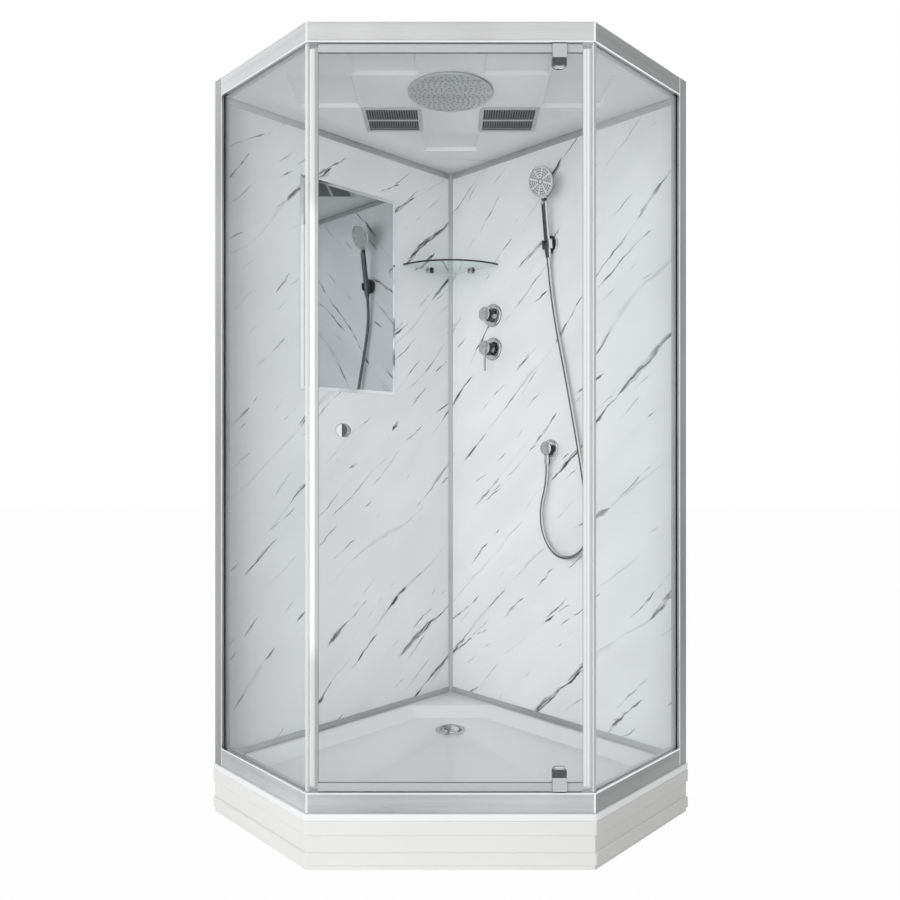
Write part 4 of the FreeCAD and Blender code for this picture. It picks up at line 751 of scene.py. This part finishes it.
# Outline of a rail across its length, as (inset, height) pairs
def railProfile(slotted, upsideDown):
    out, back, high = rail["outer"], rail["inner"], rail["height"]
    lip, groove, foot = rail["lip"], rail["groove"], rail["footChamfer"]
    points = [(back, 0), (out + foot, 0), (out, foot)]
    low, top = rail["grooveAt"]
    points += [(out, low), (out + groove, low + groove / 2), (out + groove, top - groove / 2), (out, top)]
    points += [(out, high - 1.4 * lip), (out + 0.3 * lip, high - 0.4 * lip), (out + 1.3 * lip, high)]
    if slotted:
        near, far = rail["slot"]
        points += [(near, high), (near, high - rail["slotDepth"]), (far, high - rail["slotDepth"]), (far, high)]
    points += [(back - rail["backChamfer"], high), (back, high - rail["backChamfer"])]
    if upsideDown:
        points = [(inset, high - height) for inset, height in points]
    return points


for level in ("bottom", "top"):
    base = rail[level]
    for segment, side in enumerate(("left", "front", "right")):
        profile = railProfile(side != "front", level == "top")
        ends = [[cornerPoint(*frontCorners(inset)[number], base + height) for inset, height in profile]
                for number in (segment, segment + 1)]
        name = f"Rail{level.capitalize()}{side.capitalize()}"
        look = "frontTop" if name == "RailTopFront" else side
        item = solid(name, skinned(ends), look, "root")
        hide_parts(f"rail_{level}_{side}")

# Bright strips over the joints at the front corners
strip = {"width": 0.0042, "flat": 0.8, "side": 0.0012, "proud": 0.0006, "inset": 0.002, "tip": 0.0008,
         "sideProud": 0.0003, "sunk": 0.001}
outFront = Vector((0, -1, 0))
for level in ("bottom", "top"):
    low, high = rail[level] + strip["inset"], rail[level] + rail["height"] - strip["inset"]
    parts = []
    for side in (-1, 1):
        corner = cornerPoint(*frontCorners(rail["outer"])[1 if side < 0 else 2], 0)
        front = Vector((-side, 0, 0))
        back = (cornerPoint(*frontCorners(rail["outer"])[0 if side < 0 else 3], 0) - corner).normalized()
        outSide = Vector((side, -1, 0)).normalized()
        tip = corner + (outFront + outSide) * (strip["proud"] / 2)
        frontEdge, sideEdge = corner + front * strip["width"], corner + back * strip["side"]
        shape = [frontEdge, corner + front * strip["width"] * strip["flat"] + outFront * strip["proud"],
                 tip + front * strip["tip"], tip, tip + back * strip["tip"],
                 sideEdge + outSide * strip["sideProud"], sideEdge - outSide * strip["sunk"],
                 corner - (outFront + outSide) * strip["sunk"], frontEdge - outFront * strip["sunk"]]
        parts.append(skinned([[point + Vector((0, 0, z)) for point in shape] for z in (low, high)]))
    name = f"CornerStrips{level.capitalize()}"
    item = solid(name, together(*parts), "bright", "root")

# Bright beads along the rails' edges beside the glass, standing in for their highlights: painted highlights
highlightBead = {"out": 0.0004, "deep": 0.0026, "high": 0.0028, "chamfer": 0.0004, "proud": 0.0003}
highlightBeadOut = rail["outer"] - highlightBead["out"]
for level, way in (("bottom", 1), ("top", -1)):
    edge = rail["bottom"] + rail["height"] if level == "bottom" else rail["top"]
    deep, proud = rail["outer"] + highlightBead["deep"], edge + way * highlightBead["proud"]
    shape = [(highlightBeadOut, edge - way * highlightBead["high"]), (highlightBeadOut, edge - way * highlightBead["chamfer"]),
             (rail["outer"] + highlightBead["chamfer"], proud), (deep, proud), (deep, edge - way * highlightBead["high"])]
    rings = [[cornerPoint(*frontCorners(inset)[number], height) for inset, height in shape] for number in range(4)]
    name = f"RailBeads{level.capitalize()}"
    item = solid(name, skinned(rings), "bright", "root")


# Point on a wall post from its inset and its distance from the wall
def postPoint(side, inset, beside, height):
    along = plan["side"] - inset
    return cornerPoint(*((along, beside) if side < 0 else (beside, along)), height)


# Wall posts, slotted for the glass, and the bright bead on each post's free edge as its painted highlight
post = {"grooves": ((0.0055, 0.0067), (0.0335, 0.0347)), "groove": 0.0007, "slope": 0.0003, "top": 2.178,
        "round": 0.0014, "highlightBeadWidth": 0.0022, "highlightBeadProud": 0.0004, "highlightBeadDeep": 0.0018, "highlightBeadInset": 0.001}
highlightBeadParts = []
for side in (-1, 1):
    out, back, end, soft = rail["outer"], rail["inner"], rail["wallEnd"], post["round"]
    near, far = rail["slot"]
    points = [(out + soft, 0), (back, 0), (back, end), (far, end), (far, end - rail["slotDepth"]),
              (near, end - rail["slotDepth"]), (near, end), (out + soft, end), (out + 0.3 * soft, end - 0.3 * soft),
              (out, end - soft)]
    for low, high in reversed(post["grooves"]):
        points += [(out, high), (out + post["groove"], high - post["slope"]),
                   (out + post["groove"], low + post["slope"]), (out, low)]
    points += [(out, soft), (out + 0.3 * soft, 0.3 * soft)]
    ends = [[postPoint(side, inset, beside, height) for inset, beside in points]
            for height in (rail["bottom"], post["top"])]
    name = "WallPostLeft" if side < 0 else "WallPostRight"
    item = solid(name, skinned(ends), "post", "root")
    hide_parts("wall_post_left" if side < 0 else "wall_post_right")
    deep, low, high = highlightBeadOut + post["highlightBeadDeep"], end - post["highlightBeadWidth"], end + post["highlightBeadProud"]
    shape = [(highlightBeadOut, low), (highlightBeadOut, high), (deep, high), (deep, low)]
    highlightBeadParts.append(skinned([[postPoint(side, inset, beside, height) for inset, beside in shape] for height in
                              (rail["bottom"] + post["highlightBeadInset"], post["top"] - post["highlightBeadInset"])]))
highlightBeadItem = solid("PostBeads", together(*highlightBeadParts), "bright", "root")
print("frame rails and posts")


# Copies of CAD pieces with softened edges: width, segments, finish, slot, body

softCopies = {
    "ceiling_panel": (0.0035, 3, "white", "white_acrylic", "root"),
    "tray": (0.0025, 3, "white", "white_acrylic", "root"),
    "handset_holder": (0.0010, 2, "handle", "chrome_fitting", "root"),
    "door_knobs": (0.0035, 4, "knob", "chrome_fitting", "door"),
    "valve_rosettes": (0.0008, 2, "chrome", "chrome_fitting", "root"),
    "diverter_knob": (0.0008, 2, "chrome", "chrome_fitting", "diverter"),
    "mixer_handle": (0.0006, 2, "chrome", "chrome_fitting", "mixer_lever"),
    "wall_outlet": (0.0008, 2, "chrome", "chrome_fitting", "root"),
    "shelf_clamps": (0.0008, 2, "chrome", "chrome_fitting", "root"),
    "ceiling_grilles": (0.0005, 1, "grille", "grille_grey", "root"),
}


# Stand a copy with rounded edges in for a CAD piece
def softened(name, width, segments, material, slot, body):
    title = "".join(word.capitalize() for word in name.split("_")) + "Soft"
    mesh = nodes[name].data.copy()
    build = bmesh.new()
    build.from_mesh(mesh)
    bmesh.ops.remove_doubles(build, verts=build.verts, dist=1e-6)
    bmesh.ops.dissolve_limit(build, angle_limit=radians(1.5), verts=build.verts, edges=build.edges)
    build.to_mesh(mesh)
    build.free()
    dropLayers(mesh, ("custom_normal", "sharp_edge"))
    item = addObject(title, mesh)
    bevel = item.modifiers.new("Round", "BEVEL")
    bevel.width = width
    bevel.segments = segments
    bevel.limit_method = "ANGLE"
    bevel.angle_limit = radians(28)
    done = applied(item)
    bpy.data.objects.remove(item)
    bpy.data.meshes.remove(mesh)
    made = piece(title, done, material, body, smooth=35)
    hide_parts(name)


for name, values in softCopies.items():
    softened(name, *values)
print("softened", len(softCopies), "pieces")


# Mirror with a ground rim, on the left wall

glassMirror = {"along": (0.321, 0.717), "z": (1.274, 1.960), "thick": 0.005, "rim": 0.011, "drop": 0.0014}
(near, far), (low, high) = glassMirror["along"], glassMirror["z"]
rings = []
for inset, deep in ((0.0, 0.0), (0.0, glassMirror["thick"] - glassMirror["drop"]),
                    (glassMirror["rim"], glassMirror["thick"])):
    left, right, foot, top = near + inset, far - inset, low + inset, high - inset
    rings.append([cornerPoint(along, plan["panelFace"] + deep, height)
                  for along, height in ((left, foot), (right, foot), (right, top), (left, top))])
mirrorItem = solid("WallMirror", skinned(rings), "mirror", "root")
mirrorItem.data.materials.append(finish["bright"])
narrowest = 0.1  # square metres of the mirror's own faces, wider than those of the rim
for face in mirrorItem.data.polygons:
    face.material_index = 1 if face.area < narrowest else 0
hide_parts("mirror")


# Door seals: a ribbed clamp round the glass edge with a hollow lip

seal = {"middleY": -0.4975, "half": 0.35, "glass": 0.0026, "wall": 0.0012, "grip": 0.009, "gap": 0.0003,
        "slant": 0.0002, "round": 0.0004, "out": 0.3637, "lip": (0.0045, 0.0043), "lipSteps": 8,
        "low": 0.213, "high": 2.112, "ribs": 4, "ribFrom": 0.0018, "ribPitch": 0.0027,
        # one rib: (place, height as a share of the wall)
        "rib": ((0.0, 1), (0.0004, 1.35), (0.0012, 1.35), (0.0016, 1))}
clear, wall, grip, edge = seal["glass"], seal["wall"], seal["half"] - seal["grip"], seal["half"] + seal["gap"]
ribs = [(grip + seal["ribFrom"] + number * seal["ribPitch"] + away, clear + wall * rise)
        for number in range(seal["ribs"]) for away, rise in seal["rib"]]
grown = [(grip - seal["slant"], clear + wall / 2), (grip + seal["round"], clear + wall)] + ribs
outline = [(grip, clear), (edge, clear), (edge, -clear), (grip, -clear)] + [(x, -y) for x, y in grown]
wide, deep = seal["lip"]
for step in range(seal["lipSteps"] + 1):
    angle = -pi / 2 + pi * step / seal["lipSteps"]
    outline.append((seal["out"] - wide + wide * cos(angle), deep * sin(angle)))
outline += reversed(grown)
for side in (-1, 1):
    ends = [[Vector((side * x, seal["middleY"] + y, z)) for x, y in outline] for z in (seal["low"], seal["high"])]
    name = "DoorSealLeft" if side < 0 else "DoorSealRight"
    item = solid(name, skinned(ends), "sealLeft" if side < 0 else "sealRight", "door", smooth=40)
    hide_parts("door_seal_left" if side < 0 else "door_seal_right")
print("door seals")


# Hinge clamps: a round-topped plate whose upper half slopes back

hinge = {"x": 0.28, "half": 0.01925, "low": 0.201, "high": 0.264, "slope": 0.238, "thick": 0.009, "tip": 0.0034,
         "corner": 0.0135, "steps": 8, "upper": 2.325, "shrink": 0.8, "reach": 0.03,
         # rings from the glass outwards: (share of the thickness, inset)
         "rings": ((0.0, 0.0), (0.3, 0.0), (0.42, 0.0007), (0.93, 0.0007), (1.0, 0.0018)), "shrinkFrom": 0.5}


# Outline of the lower clamp, from its left foot
def hingeOutline():
    half, low, high, corner = hinge["half"], hinge["low"], hinge["high"], hinge["corner"]
    points = [(-half, low), (half, low), (half, hinge["slope"])]
    for middle, start in ((half - corner, 0), (-half + corner, pi / 2)):
        for step in range(hinge["steps"] + 1):
            angle = start + pi / 2 * step / hinge["steps"]
            points.append((middle + corner * cos(angle), high - corner + corner * sin(angle)))
    points.append((-half, hinge["slope"]))
    return points


# Rings of one clamp from the glass outwards, mirrored for the upper clamp
def hingeRings(face, sign, top):
    rings = []
    middle = (hinge["low"] + hinge["high"]) / 2
    for share, inset in hinge["rings"]:
        ring = []
        for x, z in hingeOutline():
            depth = hinge["thick"] * share
            if z > hinge["slope"]:
                rise = (z - hinge["slope"]) / (hinge["high"] - hinge["slope"])
                depth = min(depth, hinge["thick"] * (1 - rise) + hinge["tip"] * rise)
            scale = 1 - inset / hinge["half"]
            height = middle + (z - middle) * (1 - inset / hinge["reach"])
            if share > hinge["shrinkFrom"] and z > hinge["slope"]:
                scale *= hinge["shrink"]
                height = hinge["slope"] + (height - hinge["slope"]) * hinge["shrink"]
            if top:
                height = hinge["upper"] - height
            ring.append(Vector((hinge["x"] + x * scale, face + sign * depth, height)))
        rings.append(ring)
    return rings


for name, node, face, sign in (("HingeOuter", "hinge_plates_outer", -0.5, -1),
                               ("HingeInner", "hinge_plates_inner", -0.495, 1)):
    parts = []
    for top in (False, True):
        points, faces = skinned(hingeRings(face, sign, top))
        # The front is two flat faces that meet in the line where the slope starts
        start, end = len(points) - len(hingeOutline()), len(points)
        faces[-1] = (start, start + 1, start + 2, end - 1)
        faces.append(tuple(range(start + 2, end)))
        parts.append((points, faces))
    item = solid(name, together(*parts), "clamp", "door", smooth=8)
    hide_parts(node)
print("hinges")


# Nozzles: a stamp on a set of points

# Node group with a stamp on every point, turned and sized by the point's own values
def stampGroup():
    group = bpy.data.node_groups.new("StampOnPoints", "GeometryNodeTree")
    for label, kind in (("Geometry", "Geometry"), ("Stamp", "Object")):
        group.interface.new_socket(label, in_out="INPUT", socket_type="NodeSocket" + kind)
    group.interface.new_socket("Geometry", in_out="OUTPUT", socket_type="NodeSocketGeometry")
    made = {"start": group.nodes.new("NodeGroupInput"), "end": group.nodes.new("NodeGroupOutput")}
    for label, kind in (("info", "ObjectInfo"), ("turn", "InputNamedAttribute"), ("grow", "InputNamedAttribute"),
                        ("spread", "InstanceOnPoints"), ("whole", "RealizeInstances")):
        made[label] = group.nodes.new("GeometryNode" + kind)
    for label in ("turn", "grow"):
        made[label].data_type = "FLOAT_VECTOR"
        made[label].inputs["Name"].default_value = label
    for giver, output, taker, socket in (
            ("start", "Geometry", "spread", "Points"), ("start", "Stamp", "info", "Object"),
            ("info", "Geometry", "spread", "Instance"), ("turn", "Attribute", "spread", "Rotation"),
            ("grow", "Attribute", "spread", "Scale"), ("spread", "Instances", "whole", "Geometry"),
            ("whole", "Geometry", "end", "Geometry")):
        group.links.new(made[giver].outputs[output], made[taker].inputs[socket])
    return group


stampTree = stampGroup()


# One piece from a stamp at places given as (point, turn matrix, size along each axis)
def stamped(name, stampMesh, places, material, body):
    base = bpy.data.meshes.new(name + "Points")
    base.from_pydata([tuple(place[0]) for place in places], [], [])
    turns = base.attributes.new("turn", "FLOAT_VECTOR", "POINT")
    sizes = base.attributes.new("grow", "FLOAT_VECTOR", "POINT")
    for number, (_, turn, size) in enumerate(places):
        turns.data[number].vector = turn.to_euler()
        sizes.data[number].vector = size
    stampItem, item = addObject(name + "Stamp", stampMesh), addObject(name, base)
    modifier = item.modifiers.new("Stamp", "NODES")
    modifier.node_group = stampTree
    modifier[stampTree.interface.items_tree["Stamp"].identifier] = stampItem
    done = applied(item)
    for thing in (item, stampItem):
        bpy.data.objects.remove(thing)
    bpy.data.meshes.remove(base)
    dropLayers(done, ("turn", "grow"))
    made = piece(name, done, material, body, smooth=40)


# Turn whose z axis is the normal, and whose x axis is as near as it can be to another
def facing(normal, along=None):
    side = Vector(along) if along is not None else normal.orthogonal()
    side = (side - normal * side.dot(normal)).normalized()
    return Matrix((side, normal.cross(side), normal)).transposed()


# The stamp is a round form of (radius, height) pairs, one unit in size
nozzle = {"sides": 10, "profile": ((0.0, -0.3), (1.0, -0.3), (1.0, 0.35), (0.8, 0.8), (0.45, 1.0), (0.0, 0.92))}
turns = [2 * pi * side / nozzle["sides"] for side in range(nozzle["sides"])]
rings = [[Vector((radius * cos(turn), radius * sin(turn), height)) for turn in turns]
         for radius, height in nozzle["profile"]]
nozzleStamp = meshFrom("NozzleStamp", *skinned(rings))

# Rain head: nozzles along a sunflower spiral
bowl = {"centre": (0, -0.21825, 2.124), "radius": 0.116, "count": 170, "first": 0.6,
        "size": (0.0025, 0.0025, 0.0016)}
golden = pi * (3 - sqrt(5))
down = facing(Vector((0, 0, -1)))
places = []
for number in range(bowl["count"]):
    reach = bowl["radius"] * sqrt((number + bowl["first"]) / bowl["count"])
    ray = Vector((reach * cos(number * golden), reach * sin(number * golden), 0))
    places.append((Vector(bowl["centre"]) + ray, down, bowl["size"]))
stamped("RainNozzles", nozzleStamp, places, "rainNozzle", "root")

# Hand shower: rings of dashes in sectors, as (radius, dashes in a sector)
head = {"out": 0.062, "z": 1.97, "along": 0.485, "tilt": 17, "thick": 0.003, "sectors": 8, "spread": 0.80,
        "rows": ((0.0085, 1), (0.0164, 1), (0.0243, 2), (0.0322, 3), (0.0400, 3)),
        "dash": (0.0030, 0.0023, 0.0011)}
angle, upward = radians(head["tilt"]), Vector((0, 0, 1))
outward, sideways = (wallPoint(*step, 0) - wallPoint(0, 0, 0) for step in ((1, 0), (0, 1)))
faceNormal = (outward * cos(angle) - upward * sin(angle)).normalized()
faceUp = (outward * sin(angle) + upward * cos(angle)).normalized()
centre = wallPoint(head["out"], head["along"], head["z"]) + faceNormal * head["thick"]
places = []
for radius, count in head["rows"]:
    for sector in range(head["sectors"]):
        for number in range(count):
            share = (number + 0.5) / count - 0.5
            turn = 2 * pi * (sector + head["spread"] * share) / head["sectors"]
            ray = sideways * cos(turn) + faceUp * sin(turn)
            tangent = faceUp * cos(turn) - sideways * sin(turn)
            places.append((centre + ray * radius, facing(faceNormal, tangent), head["dash"]))
stamped("SprayNozzles", nozzleStamp, places, "nozzle", "handset")
bpy.data.meshes.remove(nozzleStamp)
print("nozzles")


# Dark housing behind each grille

fan = {"x": (0.100, 0.265), "y": (-0.103, 0.054), "z": (2.1345, 2.150), "shoulder": 0.003, "inset": 0.004}
for side in (-1, 1):
    low, high = sorted(side * x for x in fan["x"])
    (front, back), (foot, top), inset = fan["y"], fan["z"], fan["inset"]
    rings = []
    for cut, z in ((0, foot), (0, top - fan["shoulder"]), (inset, top)):
        (left, right), (near, far) = (low + cut, high - cut), (front + cut, back - cut)
        rings.append([Vector((x, y, z)) for x, y in ((left, near), (right, near), (right, far), (left, far))])
    name = "FanHousingLeft" if side < 0 else "FanHousingRight"
    item = solid(name, skinned(rings), "dark", "root")


# Stage

studio = {
    "ambient": 0.48, "cool": (0.985, 0.99, 1.0), "floor": ((0.925, 0.925, 0.925), (0.93, 0.93, 0.93)),
    "floorGlow": 0.97, "floorSize": 12,
    # place, size, power and aim of each lamp
    "lamps": (((-2.5, -3.2, 2.4), 2.4, 59, (0, 0, 1.0)), ((-0.5, -4.0, 0.9), 2.2, 46, (0, 0, 1.4))),
}
whiteLight = {"Color": (1, 1, 1, 1), "Strength": 1.0}
floorMesh = bpy.data.meshes.new("Floor")
floorMesh.from_pydata([(x * studio["floorSize"], y * studio["floorSize"], 0)
                       for x, y in ((-1, -1), (1, -1), (1, 1), (-1, 1))], [], [range(4)])
floorItem = addObject("Floor", floorMesh)
material, tree = newMaterial("StudioFloor")
paper = clouded(tree, noise(tree, 2.0), *studio["floor"])
matte = addNode(tree, "BsdfDiffuse", {"Color": paper})
glow = addNode(tree, "Emission", whiteLight)
seen = times(tree, seenRays(tree), studio["floorGlow"])
showBoth(tree, tree.nodes["Output"], seen, matte, glow)
floorMesh.materials.append(material)

world = bpy.data.worlds.new("Studio")
bpy.context.scene.world = world
world.use_nodes = True
tree = world.node_tree
tree.nodes.clear()
ambient = addNode(tree, "Background", {"Color": (*studio["cool"], 1), "Strength": studio["ambient"]})
white = addNode(tree, "Background", whiteLight)
showBoth(tree, tree.nodes.new("ShaderNodeOutputWorld"), seenRays(tree), ambient, white)

for number, (place, size, power, aim) in enumerate(studio["lamps"]):
    lamp = bpy.data.lights.new(f"Lamp{number}", "AREA")
    lamp.size = size
    lamp.energy = power
    lampItem = addObject(f"Lamp{number}", lamp)
    lampItem.location = place
    lampItem.rotation_euler = (Vector(aim) - Vector(place)).to_track_quat("-Z", "Y").to_euler()
    lampItem.visible_glossy = False
    lampItem.visible_transmission = False
bpy.context.scene.view_settings.view_transform = "Standard"
print("stage")
